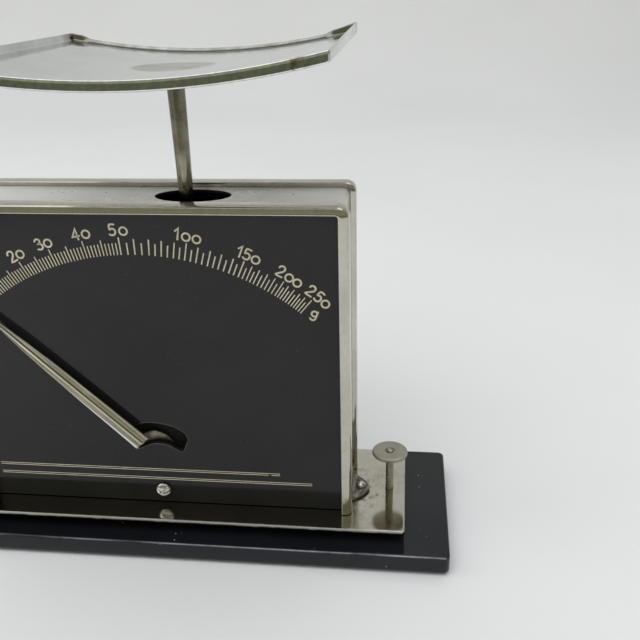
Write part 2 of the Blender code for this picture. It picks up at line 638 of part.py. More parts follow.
def build_auxiliary(pivot):
    axis = (0.0, UPPER_Z)
    spot = clock(axis, AUXILIARY_LENGTH, 180)
    end = clock(axis, AUXILIARY_LENGTH + 0.006, 180)
    rod = slab_xz(bar_outline(axis, end, 0.0042, 0.0030), *AUXILIARY_LAYER)
    arm = solid("auxiliary_arm", rod, "steel", pivot)
    cut_local(arm, pivot, [pin((0, 0, UPPER_Z), AXLE_RADIUS + GAP, 0.0, 0.02)])
    weight = pin((spot[0], 0, spot[1]), AUXILIARY_WEIGHT_RADIUS, *AUXILIARY_WEIGHT_LAYER, segments=FINE)
    solid("auxiliary_weight", weight, "brass", pivot)


def build_pointer(pivot):
    axis = (0.0, LOWER_Z)
    solid("pointer_axle", pin((0, 0, LOWER_Z), AXLE_RADIUS, HUB_LAYER[0] - 0.0003, REAR_FRAME[1] + 0.0006),
          "steel", pivot)
    bore = AXLE_RADIUS + PIN_FIT
    tip = arm_end(LOWER_Z)
    link = solid("pointer_link", slab_xz(bar_outline(axis, tip, 0.0040, 0.0026), *LINK_LAYER), "steel", pivot)
    cut_local(link, pivot, [pin((0, 0, LOWER_Z), bore, -0.01, 0.0),
                            pin((tip[0], 0, tip[1]), PIN_RADIUS + GAP, -0.01, 0.0)])
    build_hub(pivot, axis, bore)
    build_pointer_bar(pivot)


def build_hub(pivot, axis, bore):
    """A boss on the axle with a broad arm, whose edge is bent forward through the dial's arc slot."""
    across = math.degrees(NECK_THICKNESS / 2 / NECK_RADII[1])
    outline = arc(axis, HUB_RADIUS, -180, 0, 8)
    for radius, angle in ((0.0090, 38), (0.0112, 30), (0.0130, 17), (0.0145, 8), (0.0152, 1), (0.0159, -6),
                          (0.0158, -16), (0.0152, -28), (0.0146, NECK_ANGLE - across - 1.5),
                          (0.0080, NECK_ANGLE - 12)):
        outline.append(clock(axis, radius, angle))
    outline.reverse()
    hub = solid("pointer_hub", slab_xz(outline, *HUB_LAYER), "steel", pivot)
    cut_local(hub, pivot, [pin((0, 0, LOWER_Z), bore, -0.02, -0.008)])
    low, high = NECK_RADII
    sides = []
    for turn in (-across, across):
        sides.append([clock(axis, r, NECK_ANGLE + turn) for r in (low, high)])
    neck = [sides[0][0], sides[0][1], sides[1][1], sides[1][0]]
    back = POINTER_FLANGE_FRONT + POINTER_SHEET + GAP
    solid("pointer_neck", slab_xz(neck, back, HUB_LAYER[0] - GAP), "nickel", pivot)


def build_pointer_bar(pivot):
    """The hand in front of the dial: a creased strip with a square tail and a fine tip."""
    heading = math.radians(POINTER_HEADING)
    along = Vector((math.sin(heading), math.cos(heading)))
    across = Vector((along.y, -along.x))
    tail = Vector(POINTER_TAIL)
    # across the strip from its upper to its lower edge, then back: place, depth behind the front
    slope = POINTER_FLANGE_FRONT - POINTER_FRONT
    section = [(POINTER_FACE, POINTER_SHEET), (POINTER_FACE, 0.0002), (POINTER_FACE - 0.0003, 0.0),
               (POINTER_CREASE, 0.0), (POINTER_FLANGE, slope), (POINTER_FLANGE, slope + POINTER_SHEET),
               (POINTER_CREASE, POINTER_SHEET)]
    # share of the length, share of the full width
    stations = [(0.0, 0.95), (0.01, 1.0), (0.40, 0.86), (0.75, 0.60), (0.90, 0.30), (1.0, 0.06)]
    rings = []
    for distance, share in stations:
        middle = tail + along * distance * POINTER_LENGTH
        ring = []
        for place, depth in section:
            spot = middle + across * place * share
            ring.append((spot.x, POINTER_FRONT + depth * (0.35 + 0.65 * share), spot.y))
        rings.append(ring)
    solid("pointer", join_rings(rings), "nickel", pivot)


# ---------------------------------------------------------------- pan and its carrier

def build_carrier(pivot):
    upper = arm_end(UPPER_Z)
    lower = arm_end(LOWER_Z)
    left = upper[0] - 0.0030
    right = STEM_X + 0.0036
    shelf = UPPER_Z + 0.0190
    outline = arc(lower, 0.0030, 180, 360, 8)
    outline += [(lower[0] + 0.0030, upper[1] - 0.0080), (right, upper[1] - 0.0020),
                (right, shelf), (left, shelf)]
    carrier = solid("pan_carrier", slab_xz(outline, *CARRIER_LAYER), "steel", pivot)
    hole = PIN_RADIUS + PIN_FIT
    cut_local(carrier, pivot, [pin((upper[0], 0, upper[1]), hole, -0.01, 0.0),
                               pin((lower[0], 0, lower[1]), hole, -0.01, 0.0)])
    for name, spot in (("carrier_pin_upper", upper), ("carrier_pin_lower", lower)):
        profile = [(PIN_RADIUS, CARRIER_LAYER[1] + 0.0002), (PIN_RADIUS, LINK_LAYER[0] - 0.0003)]
        solid(name, turned(profile, (spot[0], 0, spot[1]), "Y", 16), "steel", pivot)
    bracket = [(CARRIER_LAYER[1] + GAP, shelf - 0.0060), (CARRIER_LAYER[1] + 0.0013, shelf - 0.0060),
               (CARRIER_LAYER[1] + 0.0013, shelf - 0.0010), (0.0036, shelf - 0.0010), (0.0036, shelf),
               (CARRIER_LAYER[1] + GAP, shelf)]
    rings = [[(x, y, z) for y, z in bracket] for x in (STEM_X - 0.0034, right)]
    made = solid("stem_bracket", join_rings(rings), "steel", pivot)
    cut_local(made, pivot, [pin((STEM_X, 0, 0), STUD + PIN_FIT, 0.05, 0.15, "Z")])
    return shelf


def build_pan(pivot, shelf):
    foot = shelf + GAP
    top = PAN_FLOOR - FLANGE_THICKNESS
    stem_profile = [(STUD, shelf - 0.0022), (STUD, foot), (STEM_FOOT_RADIUS, foot),
                    (STEM_TOP_RADIUS, top - GAP)]
    solid("pan_stem", turned(stem_profile, (STEM_X, 0, 0), segments=20), "nickel", pivot)
    nut = slab_xy(hexagon((STEM_X, 0), 0.0044, 30), shelf - 0.0030, shelf - 0.0010 - GAP)
    made = solid("stem_nut", nut, "steel", pivot)
    cut_local(made, pivot, [pin((STEM_X, 0, 0), STUD + PIN_FIT, 0.05, 0.15, "Z")])
    collar = [(0.0030, top), (FLANGE_RADIUS, PAN_FLOOR - 0.0007), (FLANGE_RADIUS, PAN_FLOOR - GAP),
              (0.0030, PAN_FLOOR - GAP)]
    solid("stem_flange", turned(collar, (STEM_X, 0, 0), segments=32), "nickel", pivot)
    solid("letter_pan", tray(), "pan_nickel", pivot)


def tray():
    """A curved rectangular sheet with a low rim, as four loops of stations from left to right."""
    centre_x = STEM_X
    corner_steps = 4
    flat_steps = 14

    def stations(inset):
        radius = PAN_CORNER - inset
        half_x = PAN_HALF_X - inset
        half_y = PAN_HALF_Y - inset
        found = []
        for i in range(corner_steps):
            angle = math.pi / 2 * i / corner_steps
            found.append((-half_x + radius * (1 - math.cos(angle)), half_y - radius * (1 - math.sin(angle))))
        span = 2 * (half_x - radius)
        found += [(-half_x + radius + span * i / flat_steps, half_y) for i in range(flat_steps + 1)]
        found += [(-x, y) for x, y in found[corner_steps - 1::-1]]
        return found

    def height(x, y):
        return PAN_FLOOR + (centre_x + x - PAN_CURVE_X) ** 2 / (2 * PAN_CURVE) - PAN_LEAN * y

    levels = ((0.0, 0.0), (0.0, PAN_RIM), (PAN_SHEET, PAN_RIM), (PAN_SHEET, PAN_SHEET))
    bm = bmesh.new()
    loops = []
    for inset, rise in levels:
        spots = stations(inset)
        front = [bm.verts.new((centre_x + x, -y, height(x, -y) + rise)) for x, y in spots]
        back = [bm.verts.new((centre_x + x, y, height(x, y) + rise)) for x, y in spots]
        loops.append((front, back))
    for one, two in zip(loops, loops[1:]):
        ring_one = one[0] + one[1][::-1]
        ring_two = two[0] + two[1][::-1]
        count = len(ring_one)
        for i in range(count):
            bm.faces.new((ring_one[i], ring_one[(i + 1) % count], ring_two[(i + 1) % count], ring_two[i]))
    for front, back in (loops[0], loops[-1]):
        for i in range(len(front) - 1):
            bm.faces.new((front[i], front[i + 1], back[i + 1], back[i]))
    return bm


def main():
    clear_scene()
    for name, (colour, roughness, metallic) in FINISHES.items():
        material(name, colour, roughness, metallic)
    build_base()
    chassis = empty("chassis_pivot", (PIVOT_X, 0, SLAB_TOP))
    build_foot_plate(chassis)
    build_case(chassis)
    build_dial(chassis)
    build_rear_cover(chassis)
    build_frame(chassis)
    stem_parent = empty("levelling_axis", (LEVEL_X, 0, SLAB_TOP), chassis)
    head_parent = empty("levelling_head_axis", (LEVEL_X, 0, LEVEL_HEAD_Z), stem_parent)
    build_levelling(stem_parent, head_parent)
    pendulum = empty("pendulum_pivot", (0, 0, UPPER_Z), chassis)
    build_pendulum(pendulum)
    build_auxiliary(empty("auxiliary_pivot", (0, 0, UPPER_Z), chassis))
    build_pointer(empty("pointer_pivot", (0, 0, LOWER_Z), chassis))
    tip = arm_end(UPPER_Z)
    pan = empty("pan_pivot", (tip[0], 0, tip[1]), pendulum)
    shelf = build_carrier(pan)
    build_pan(pan, shelf)


main()
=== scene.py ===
"""Looks of a table letter scale: nickel case and pan, black dial and slab, on a pale table.

Metres, +Z up, in the part's own frame: X = 0 is the case's centre plane, the dial faces -Y.
"""

from math import copysign, cos, exp, pi, radians, remainder, sin

import bmesh
import bpy
from mathutils import Matrix, Vector


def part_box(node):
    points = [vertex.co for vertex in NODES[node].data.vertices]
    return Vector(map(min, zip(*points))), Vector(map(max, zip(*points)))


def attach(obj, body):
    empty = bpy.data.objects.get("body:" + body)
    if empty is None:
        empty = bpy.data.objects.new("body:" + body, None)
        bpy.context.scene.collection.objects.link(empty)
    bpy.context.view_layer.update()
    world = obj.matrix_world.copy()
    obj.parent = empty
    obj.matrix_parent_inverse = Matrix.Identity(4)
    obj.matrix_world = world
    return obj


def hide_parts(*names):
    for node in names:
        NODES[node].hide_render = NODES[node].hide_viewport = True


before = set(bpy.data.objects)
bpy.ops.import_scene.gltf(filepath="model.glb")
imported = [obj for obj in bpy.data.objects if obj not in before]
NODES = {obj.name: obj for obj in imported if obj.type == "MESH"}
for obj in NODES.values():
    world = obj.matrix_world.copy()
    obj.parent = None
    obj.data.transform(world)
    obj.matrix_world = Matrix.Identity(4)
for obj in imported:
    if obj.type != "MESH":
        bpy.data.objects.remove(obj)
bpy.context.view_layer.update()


def centre_of(node):
    """The middle of a CAD piece's box."""
    return [(a + b) / 2 for a, b in zip(*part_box(node))]


# Places taken from the CAD pieces
FACE_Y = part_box("dial_plate")[0].y
CENTRE = Vector(centre_of("pointer_axle")[::2])
PLATE_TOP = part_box("foot_plate")[1].z
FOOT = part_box("front_bezel")[0].z


# ---------------------------------------------------------------- meshes

def placed(name, data):
    """Puts a mesh, light or camera in the scene."""
    made = bpy.data.objects.new(name, data)
    bpy.context.scene.collection.objects.link(made)
    return made


def mesh_of(name, bm):
    mesh = bpy.data.meshes.new(name)
    bm.to_mesh(mesh)
    bm.free()
    return mesh


def piece(name, bm, body, finish, replaces=(), sharp=38):
    """Makes a shaded piece of a mesh and lets it ride on a body."""
    bmesh.ops.remove_doubles(bm, verts=bm.verts, dist=1e-7)
    bmesh.ops.recalc_face_normals(bm, faces=bm.faces)
    mesh = mesh_of(name, bm)
    mesh.shade_smooth()
    mesh.set_sharp_from_angle(angle=radians(sharp))
    mesh.materials.append(finish)
    made = placed(name, mesh)
    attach(made, body)
    if replaces:
        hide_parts(*replaces)
    return made


def loft(rings, loop=False, caps=True, bm=None):
    """Skins a row of closed rings; loop joins the last ring to the first."""
    bm = bm or bmesh.new()
    loops = [[bm.verts.new(p) for p in ring] for ring in rings]
    pairs = list(zip(loops, loops[1:] + loops[:1])) if loop else list(zip(loops, loops[1:]))
    for one, two in pairs:
        count = len(one)
        for i in range(count):
            bm.faces.new((one[i], one[(i + 1) % count], two[(i + 1) % count], two[i]))
    if caps and not loop:
        bm.faces.new(loops[0][::-1])
        bm.faces.new(loops[-1])
    return bm


def lathe(profile, centre, axis="Z", segments=64, loop=False, turn=0.0, bm=None):
    """Turns (radius, height) points about an axis through centre."""
    rings = []
    for radius, height in profile:
        ring = []
        for i in range(segments):
            angle = 2 * pi * i / segments + turn
            a, b = radius * cos(angle), radius * sin(angle)
            ring.append(Vector(centre) + Vector((a, b, height) if axis == "Z" else (a, height, b)))
        rings.append(ring)
    return loft(rings, loop, bm=bm)


def round_ring(count, x, z, reach):
    """A level ring about an upright axis at x; reach(i, angle) is each point's radius."""
    ring = []
    for i in range(count):
        angle = 2 * pi * i / count
        radius = reach(i, angle)
        ring.append((x + radius * cos(angle), radius * sin(angle), z))
    return ring


def arc(centre, radius, start, stop, steps):
    points = []
    for i in range(steps + 1):
        angle = radians(start + (stop - start) * i / steps)
        points.append((centre[0] + radius * cos(angle), centre[1] + radius * sin(angle)))
    return points


def clock(radius, degrees, centre=CENTRE):
    """(x, z) at a clock angle about the dial's centre: degrees clockwise from straight up."""
    angle = radians(degrees)
    return Vector((centre[0] + radius * sin(angle), centre[1] + radius * cos(angle)))


def inverted_u(half_x, top, radius, foot=FOOT, steps=12):
    path = [(half_x, foot)]
    path += arc((half_x - radius, top - radius), radius, 0, 90, steps)
    path += arc((-half_x + radius, top - radius), radius, 90, 180, steps)
    path.append((-half_x, foot))
    return path


def carve(target, *cutters):
    """Takes cutters away from a piece for good."""
    for bm in cutters:
        bmesh.ops.recalc_face_normals(bm, faces=bm.faces)
        tool = placed("cutter", mesh_of("cutter", bm))
        step = target.modifiers.new("carve", "BOOLEAN")
        step.operation = "DIFFERENCE"
        step.solver = "EXACT"
        step.object = tool
        bpy.context.view_layer.update()
        result = bpy.data.meshes.new_from_object(target.evaluated_get(bpy.context.evaluated_depsgraph_get()))
        target.modifiers.remove(step)
        target.data = result
        bpy.data.objects.remove(tool)
    target.data.shade_smooth()
    target.data.set_sharp_from_angle(angle=radians(32))
    return target


def box_bm(low, high, turn=0.0, axis="Y"):
    """A block between two corners, turned about its own middle."""
    bm = bmesh.new()
    bmesh.ops.create_cube(bm, size=1.0)
    size = Vector(high) - Vector(low)
    middle = (Vector(high) + Vector(low)) / 2
    place = Matrix.Translation(middle) @ Matrix.Rotation(turn, 4, axis) @ Matrix.Diagonal((*size, 1.0))
    bmesh.ops.transform(bm, matrix=place, verts=bm.verts)
    return bm


# ---------------------------------------------------------------- material nodes

class Nodes:
    """Builds one material's node tree on the part's own coordinates."""

    def __init__(self, name, metallic=0.0, **inputs):
        self.material = bpy.data.materials.new(name)
        self.material.use_nodes = True
        self.tree = self.material.node_tree
        self.shader = self.tree.nodes["Principled BSDF"]
        self.shader.inputs["Metallic"].default_value = metallic
        for key, value in inputs.items():
            self.shader.inputs[key.replace("_", " ")].default_value = value
        self.place = self.add("ShaderNodeTexCoord").outputs["Object"]

    def add(self, kind, **values):
        node = self.tree.nodes.new(kind)
        for key, value in values.items():
            setattr(node, key, value)
        return node

    def put(self, socket, value):
        if isinstance(value, bpy.types.NodeSocket):
            self.tree.links.new(value, socket)
        elif value is not None:
            socket.default_value = (*value, 1.0) if isinstance(value, tuple) and len(value) == 3 \
                and len(socket.default_value) == 4 else value

    def fill(self, node, **values):
        for key, value in values.items():
            self.put(node.inputs[key.replace("_", " ")], value)
        return node.outputs

    def stretched(self, scale, turn=(0.0, 0.0, 0.0), move=(0.0, 0.0, 0.0), where=None):
        node = self.add("ShaderNodeMapping")
        return self.fill(node, Vector=where or self.place, Scale=scale, Rotation=turn,
                         Location=move)["Vector"]

    def noise(self, scale, detail=4.0, rough=0.55, where=None, distortion=0.0):
        node = self.add("ShaderNodeTexNoise")
        return self.fill(node, Vector=where or self.place, Scale=scale, Detail=detail, Roughness=rough,
                         Distortion=distortion)["Fac"]

    def spots(self, scale, size, soft=0.25):
        """1 inside scattered round specks, 0 between them."""
        found = self.fill(self.add("ShaderNodeTexVoronoi", feature="F1"), Vector=self.place, Scale=scale,
                          Randomness=1.0)
        return self.fall(found["Distance"], size * (1 - soft), size)

    def ramp(self, value, low, high, out_low=0.0, out_high=1.0):
        return self.fill(self.add("ShaderNodeMapRange", clamp=True), Value=value, From_Min=low, From_Max=high,
                         To_Min=out_low, To_Max=out_high)["Result"]

    def fall(self, value, low, high):
        """1 up to low, falling to 0 at high."""
        return self.ramp(value, low, high, 1.0, 0.0)

    def math(self, operation, one, two=0.0, clamp=False):
        node = self.add("ShaderNodeMath", operation=operation, use_clamp=clamp)
        self.put(node.inputs[0], one)
        self.put(node.inputs[1], two)
        return node.outputs[0]

    def times(self, one, two, clamp=False):
        return self.math("MULTIPLY", one, two, clamp)

    def plus(self, one, two):
        return self.math("ADD", one, two)

    def minus(self, one, two):
        return self.math("SUBTRACT", one, two)

    def mix(self, share, one, two):
        node = self.add("ShaderNodeMix", data_type="RGBA")
        for key, value in (("Factor", share), ("A", one), ("B", two)):
            self.put(node.inputs[key], value)
        return node.outputs["Result"]

    def part(self, axis):
        node = self.add("ShaderNodeSeparateXYZ")
        self.put(node.inputs[0], self.place)
        return node.outputs["XYZ".index(axis)]

    def near(self, point, inner, outer, flat=None, stretch=(1.0, 1.0, 1.0)):
        """1 within inner of a point, falling to 0 at outer; flat leaves one axis out."""
        scale = tuple(0.0 if flat == axis else s for axis, s in zip("XYZ", stretch))
        move = tuple(-p * s for p, s in zip(point, scale))
        spot = self.stretched(scale, move=move)
        length = self.add("ShaderNodeVectorMath", operation="LENGTH")
        self.put(length.inputs[0], spot)
        return self.fall(length.outputs["Value"], inner, outer)

    def bump(self, height, strength, distance):
        node = self.add("ShaderNodeBump")
        return self.fill(node, Strength=strength, Distance=distance, Height=height)["Normal"]

    def finish(self, colour=None, roughness=None, normal=None, metallic=None):
        self.fill(self.shader, Base_Color=colour, Roughness=roughness, Normal=normal, Metallic=metallic)
        return self.material


def nickel(name, bright, dull, rough=(0.07, 0.20), pits=0.5, stain=(0.20, 0.15, 0.09), stain_amount=0.4,
           grain=(1.0, 1.0, 1.0), relief=0.06, extra=None, metallic=1.0):
    """Old nickel plate: cloudy lustre, hair scratches, pits and brown stains."""
    n = Nodes(name, metallic)
    cloud = n.ramp(n.noise(55, 5, 0.6), 0.34, 0.68)
    colour = n.mix(cloud, bright, dull)
    hair = n.ramp(n.noise(420, 3, 0.7, n.stretched(grain)), 0.42, 0.62)
    colour = n.mix(n.times(hair, 0.16), colour, tuple(c * 0.62 for c in dull))
    patch = n.ramp(n.noise(23, 6, 0.62, distortion=0.6), 0.60, 0.74)
    brown = n.times(patch, n.times(n.ramp(n.noise(300, 3), 0.38, 0.62), stain_amount))
    colour = n.mix(brown, colour, stain)
    speck = n.times(n.spots(650, 0.13), n.ramp(n.noise(40, 2), 0.50, 0.60))
    speck = n.times(speck, pits)
    colour = n.mix(speck, colour, tuple(c * 0.35 for c in stain))
    roughness = n.plus(n.ramp(cloud, 0.0, 1.0, *rough), n.times(brown, 0.5))
    if extra:
        colour, roughness = extra(n, colour, roughness)
    height = n.minus(n.times(n.noise(130, 4), 0.6), speck)
    height = n.plus(height, n.times(hair, 0.10))
    return n.finish(colour, roughness, n.bump(height, relief, 0.0002))


def tinted(n, colour, roughness, spots, tone, extra_rough=0.10, strength=0.75):
    """Heat-tinted patches in nickel plate: each spot is (point, inner, outer, stretch)."""
    for point, inner, outer, stretch in spots:
        share = n.near(point, inner, outer, flat="Z", stretch=stretch)
        wobble = n.ramp(n.noise(160, 4), 0.3, 0.7, 0.65, 1.0)
        share = n.times(n.times(share, wobble), strength)
        colour = n.mix(share, colour, tone)
        roughness = n.plus(roughness, n.times(share, extra_rough))
    return colour, roughness


def lacquer(name, base, rough, dust=0.25, speck_scale=420, relief=0.02, gloss=0.5, painted_edge_line=None):
    """Glossy black with fine dust, faint smears and hair scratches, and where asked a painted highlight line.
    """
    n = Nodes(name, 0.0, Specular_IOR_Level=gloss)
    smear = n.ramp(n.noise(18, 5, 0.6, distortion=0.4), 0.35, 0.70)
    colour = n.mix(smear, base, tuple(c * 1.5 + 0.002 for c in base))
    mote = n.times(n.spots(speck_scale, 0.085), n.ramp(n.noise(95, 2), 0.56, 0.64))
    colour = n.mix(n.times(mote, dust), colour, (0.42, 0.41, 0.38))
    hair = n.ramp(n.noise(260, 3, 0.6, n.stretched((0.12, 1.0, 1.0), (0.0, 0.5, 0.2))), 0.60, 0.68)
    roughness = n.plus(n.ramp(smear, 0.0, 1.0, rough, rough + 0.05), n.times(mote, 0.5))
    roughness = n.plus(roughness, n.times(hair, 0.06))
    # painted highlight: a pale bluish colour mixed in where the edge line is given
    if painted_edge_line:
        edge_line_share = painted_edge_line(n)
        colour = n.mix(edge_line_share, colour, (0.30, 0.33, 0.37))
        roughness = n.plus(roughness, n.times(edge_line_share, 0.25))
    height = n.plus(n.noise(75, 3), n.times(mote, 0.8))
    return n.finish(colour, roughness, n.bump(height, relief, 0.0002))


SLAB_LOW, SLAB_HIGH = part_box("base_slab")


def slab_edge_highlight(n):
    """Painted highlight: a thin pale line on the slab's front top edge, patchy, stronger towards the right
    corner.
    """
    line = n.fall(n.math("ABSOLUTE", n.minus(n.part("Y"), SLAB_LOW.y + 0.00030)), 0.00010, 0.00028)
    line = n.times(line, n.ramp(n.part("Z"), SLAB_HIGH.z - 0.0007, SLAB_HIGH.z - 0.0003))
    patches = n.ramp(n.noise(60, 5, 0.6), 0.36, 0.60, 0.15, 1.0)
    line = n.times(line, patches)
    return n.times(line, n.ramp(n.part("X"), -0.08, 0.10, 0.30, 0.95))


def rust(name, metal, brown, share=(0.42, 0.60), metallic=0.85):
    """Iron screw or lug: dark metal under blotches of rust."""
    n = Nodes(name)
    blotch = n.ramp(n.noise(420, 6, 0.65), *share)
    fine = n.ramp(n.noise(1500, 4), 0.35, 0.65)
    colour = n.mix(blotch, metal, n.mix(fine, brown, tuple(c * 0.45 for c in brown)))
    roughness = n.ramp(blotch, 0.0, 1.0, 0.24, 0.85)
    height = n.plus(n.times(blotch, 0.7), n.times(fine, 0.3))
    return n.finish(colour, roughness, n.bump(height, 0.35, 0.0002), n.ramp(blotch, 0.0, 1.0, metallic, 0.15))


def worked_metal(name, light, dark, rough=(0.22, 0.42), grain=(0.06, 1.0, 1.0), metallic=1.0, stain=None):
    """Rolled or turned sheet metal with a grain and a little tarnish."""
    n = Nodes(name, metallic)
    lines = n.noise(900, 3, 0.6, n.stretched(grain))
    cloud = n.ramp(n.noise(60, 5), 0.35, 0.68)
    colour = n.mix(cloud, light, dark)
    colour = n.mix(n.times(n.ramp(lines, 0.4, 0.6), 0.25), colour, tuple(c * 0.6 for c in dark))
    if stain:
        patch = n.ramp(n.noise(150, 6, 0.65), 0.52, 0.66)
        colour = n.mix(n.times(patch, 0.7), colour, stain)
    roughness = n.ramp(cloud, 0.0, 1.0, *rough)
    return n.finish(colour, roughness, n.bump(lines, 0.08, 0.0001))


def enamel(name, light, dark):
    """Printed enamel, a little rubbed and yellowed."""
    n = Nodes(name, 0.0)
    cloud = n.ramp(n.noise(240, 5), 0.35, 0.65)
    worn = n.ramp(n.noise(1400, 4, 0.7), 0.60, 0.72)
    colour = n.mix(n.times(worn, 0.55), n.mix(cloud, light, dark), (0.05, 0.048, 0.04))
    return n.finish(colour, n.ramp(worn, 0.0, 1.0, 0.38, 0.55), n.bump(n.noise(900, 3), 0.15, 0.00005))


STEM_LOW, STEM_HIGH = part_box("pan_stem")
STEM_X = centre_of("pan_stem")[0]


def pan_tint(n, colour, roughness):
    """Brown rounds over the soldered stem and at the folded corners, and a rusty patch on the front."""
    tone = (0.24, 0.20, 0.145)
    spots = [((STEM_X, 0.0, 0.0), 0.0118, 0.0138, (1.0, 1.0, 1.0)),
             ((0.0618, 0.0465, 0.0), 0.0032, 0.0068, (1.0, 0.75, 1.0)),
             ((-0.0325, 0.0480, 0.0), 0.0035, 0.0070, (0.8, 0.8, 1.0)),
             ((0.0562, -0.0430, 0.0), 0.0030, 0.0064, (0.9, 0.8, 1.0)),
             ((-0.0310, -0.0440, 0.0), 0.0025, 0.0062, (0.9, 0.9, 1.0))]
    colour, roughness = tinted(n, colour, roughness, spots, tone, strength=1.0)
    # painted shade: the back lip darker grey, for its shaded inner side
    rail_shade = n.ramp(n.part("Y"), 0.0470, 0.0480)
    colour = n.mix(n.times(rail_shade, n.ramp(n.noise(200, 4), 0.3, 0.6, 0.55, 0.95)), colour,
                   (0.24, 0.24, 0.20))
    # painted shade: a dark line in the crease at the foot of the back lip
    crease_shade = n.fall(n.math("ABSOLUTE", n.minus(n.part("Y"), 0.0488)), 0.0002, 0.0007)
    colour = n.mix(n.times(crease_shade, 0.8), colour, (0.05, 0.045, 0.03))
    # painted highlight: a pale patchy line along the pan's front edge
    front = n.fall(n.part("Y"), -0.0516, -0.0510)
    colour = n.mix(n.times(front, n.ramp(n.noise(700, 4), 0.45, 0.65, 0.0, 0.5)), colour,
                   (0.95, 0.95, 0.80))
    blush = n.near((0.0603, -0.0518, 0.0), 0.0008, 0.0034, flat="Z")
    blush = n.times(blush, n.ramp(n.noise(500, 4), 0.42, 0.58))
    return n.mix(n.times(blush, 0.8), colour, (0.30, 0.16, 0.11)), roughness


PLATE_LOW, PLATE_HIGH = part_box("foot_plate")
LUG_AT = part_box("lug_screw_right")[0].lerp(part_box("lug_screw_right")[1], 0.5)


def plate_tint(n, colour, roughness):
    """Rust creeping out from the right-hand lug, and painted shade on the plate's edge faces, near black at
    the bottom.
    """
    creep = n.near((LUG_AT.x - 0.0010, LUG_AT.y, 0.0), 0.0062, 0.0125, flat="Z", stretch=(1.0, 0.8, 1.0))
    creep = n.times(creep, n.ramp(n.noise(330, 6, 0.68), 0.50, 0.62))
    colour = n.mix(n.times(creep, 0.75), colour, (0.16, 0.12, 0.075))
    # painted shade: edge faces below the top rounding go dark grey, the lowest strip near black, for the dark
    # slab's reflection
    low_edge_shade = n.fall(n.part("Z"), PLATE_LOW.z + 0.00075, PLATE_LOW.z + 0.00105)
    edge_face_shade = n.fall(n.part("Z"), PLATE_HIGH.z - 0.00030, PLATE_HIGH.z - 0.00022)
    edge_face_shade = n.minus(edge_face_shade, low_edge_shade)
    colour = n.mix(n.times(edge_face_shade, 0.75, True), colour, (0.25, 0.26, 0.28))
    low_edge_shade = n.times(low_edge_shade, n.ramp(n.noise(240, 4), 0.30, 0.55, 0.55, 1.0))
    colour = n.mix(low_edge_shade, colour, (0.055, 0.055, 0.055))
    return colour, n.plus(roughness, n.times(creep, 0.4))


BAND_LOW, BAND_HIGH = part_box("case_band")


def band_tint(n, colour, roughness):
    """Satin and pale on top, warm and polished down the sides, the pale top partly painted light; painted
    shade in the stem's slot.
    """
    # partly painted light: by height, the top paler and satin, the sides warm polished nickel
    side = n.fall(n.part("Z"), BAND_HIGH.z - 0.0040, BAND_HIGH.z - 0.0012)
    n.put(n.shader.inputs["Metallic"], n.ramp(side, 0.0, 1.0, 0.3, 1.0))
    warm = n.mix(n.ramp(n.noise(70, 5), 0.35, 0.65), (0.58, 0.555, 0.48), (0.46, 0.44, 0.36))
    colour = n.mix(side, colour, warm)
    # painted shade: near black inside the stem's slot, just below the top
    slot_shade = n.near((0.0174, 0.0, 0.0), 0.01290, 0.01295, flat="Z", stretch=(1.0, 1.685, 1.0))
    below = n.fall(n.part("Z"), BAND_HIGH.z - 0.00012, BAND_HIGH.z - 0.00006)
    slot_shade = n.times(slot_shade, below)
    return n.mix(slot_shade, colour, (0.006, 0.006, 0.006)), n.plus(roughness, n.times(slot_shade, 0.6))


NICKEL = nickel("nickel_plate", (0.60, 0.575, 0.50), (0.50, 0.475, 0.40))
NICKEL_BAND = nickel("nickel_band", (0.72, 0.72, 0.69), (0.64, 0.64, 0.61), (0.24, 0.36), 0.35,
                     stain_amount=0.25, grain=(0.03, 1.0, 1.0), relief=0.02, extra=band_tint, metallic=0.3)
NICKEL_PLATE = nickel("nickel_foot", (0.66, 0.63, 0.55), (0.56, 0.53, 0.45), (0.07, 0.17), 0.8,
                      stain_amount=0.35, relief=0.05, extra=plate_tint)
NICKEL_PAN = nickel("nickel_pan", (0.74, 0.75, 0.75), (0.66, 0.67, 0.67), (0.05, 0.12), 0.25,
                    stain_amount=0.10, relief=0.03, extra=pan_tint)
NICKEL_STEM = nickel("nickel_stem", (0.34, 0.32, 0.25), (0.11, 0.10, 0.065), (0.12, 0.30), 1.0,
                     stain=(0.12, 0.09, 0.04), stain_amount=0.9, grain=(1.0, 1.0, 0.05), relief=0.25)

# the hand at rest: clock heading, and where its tail begins
HAND_HEADING = radians(-44.5)
HAND_TAIL = CENTRE + Vector((-0.0043, 0.0131))
# painted highlight lines and one painted shade line along it: from, to (metres across), strength, colour
HAND_PAINTED_LIGHT = [(0.00215, 0.00235, 0.6, (0.74, 0.70, 0.54)), (0.0000, 0.0003, 0.8, (0.10, 0.09, 0.05)),
              (-0.0013, -0.0005, 0.85, (0.80, 0.77, 0.63)), (-0.0050, -0.0036, 0.85, (0.86, 0.87, 0.86))]


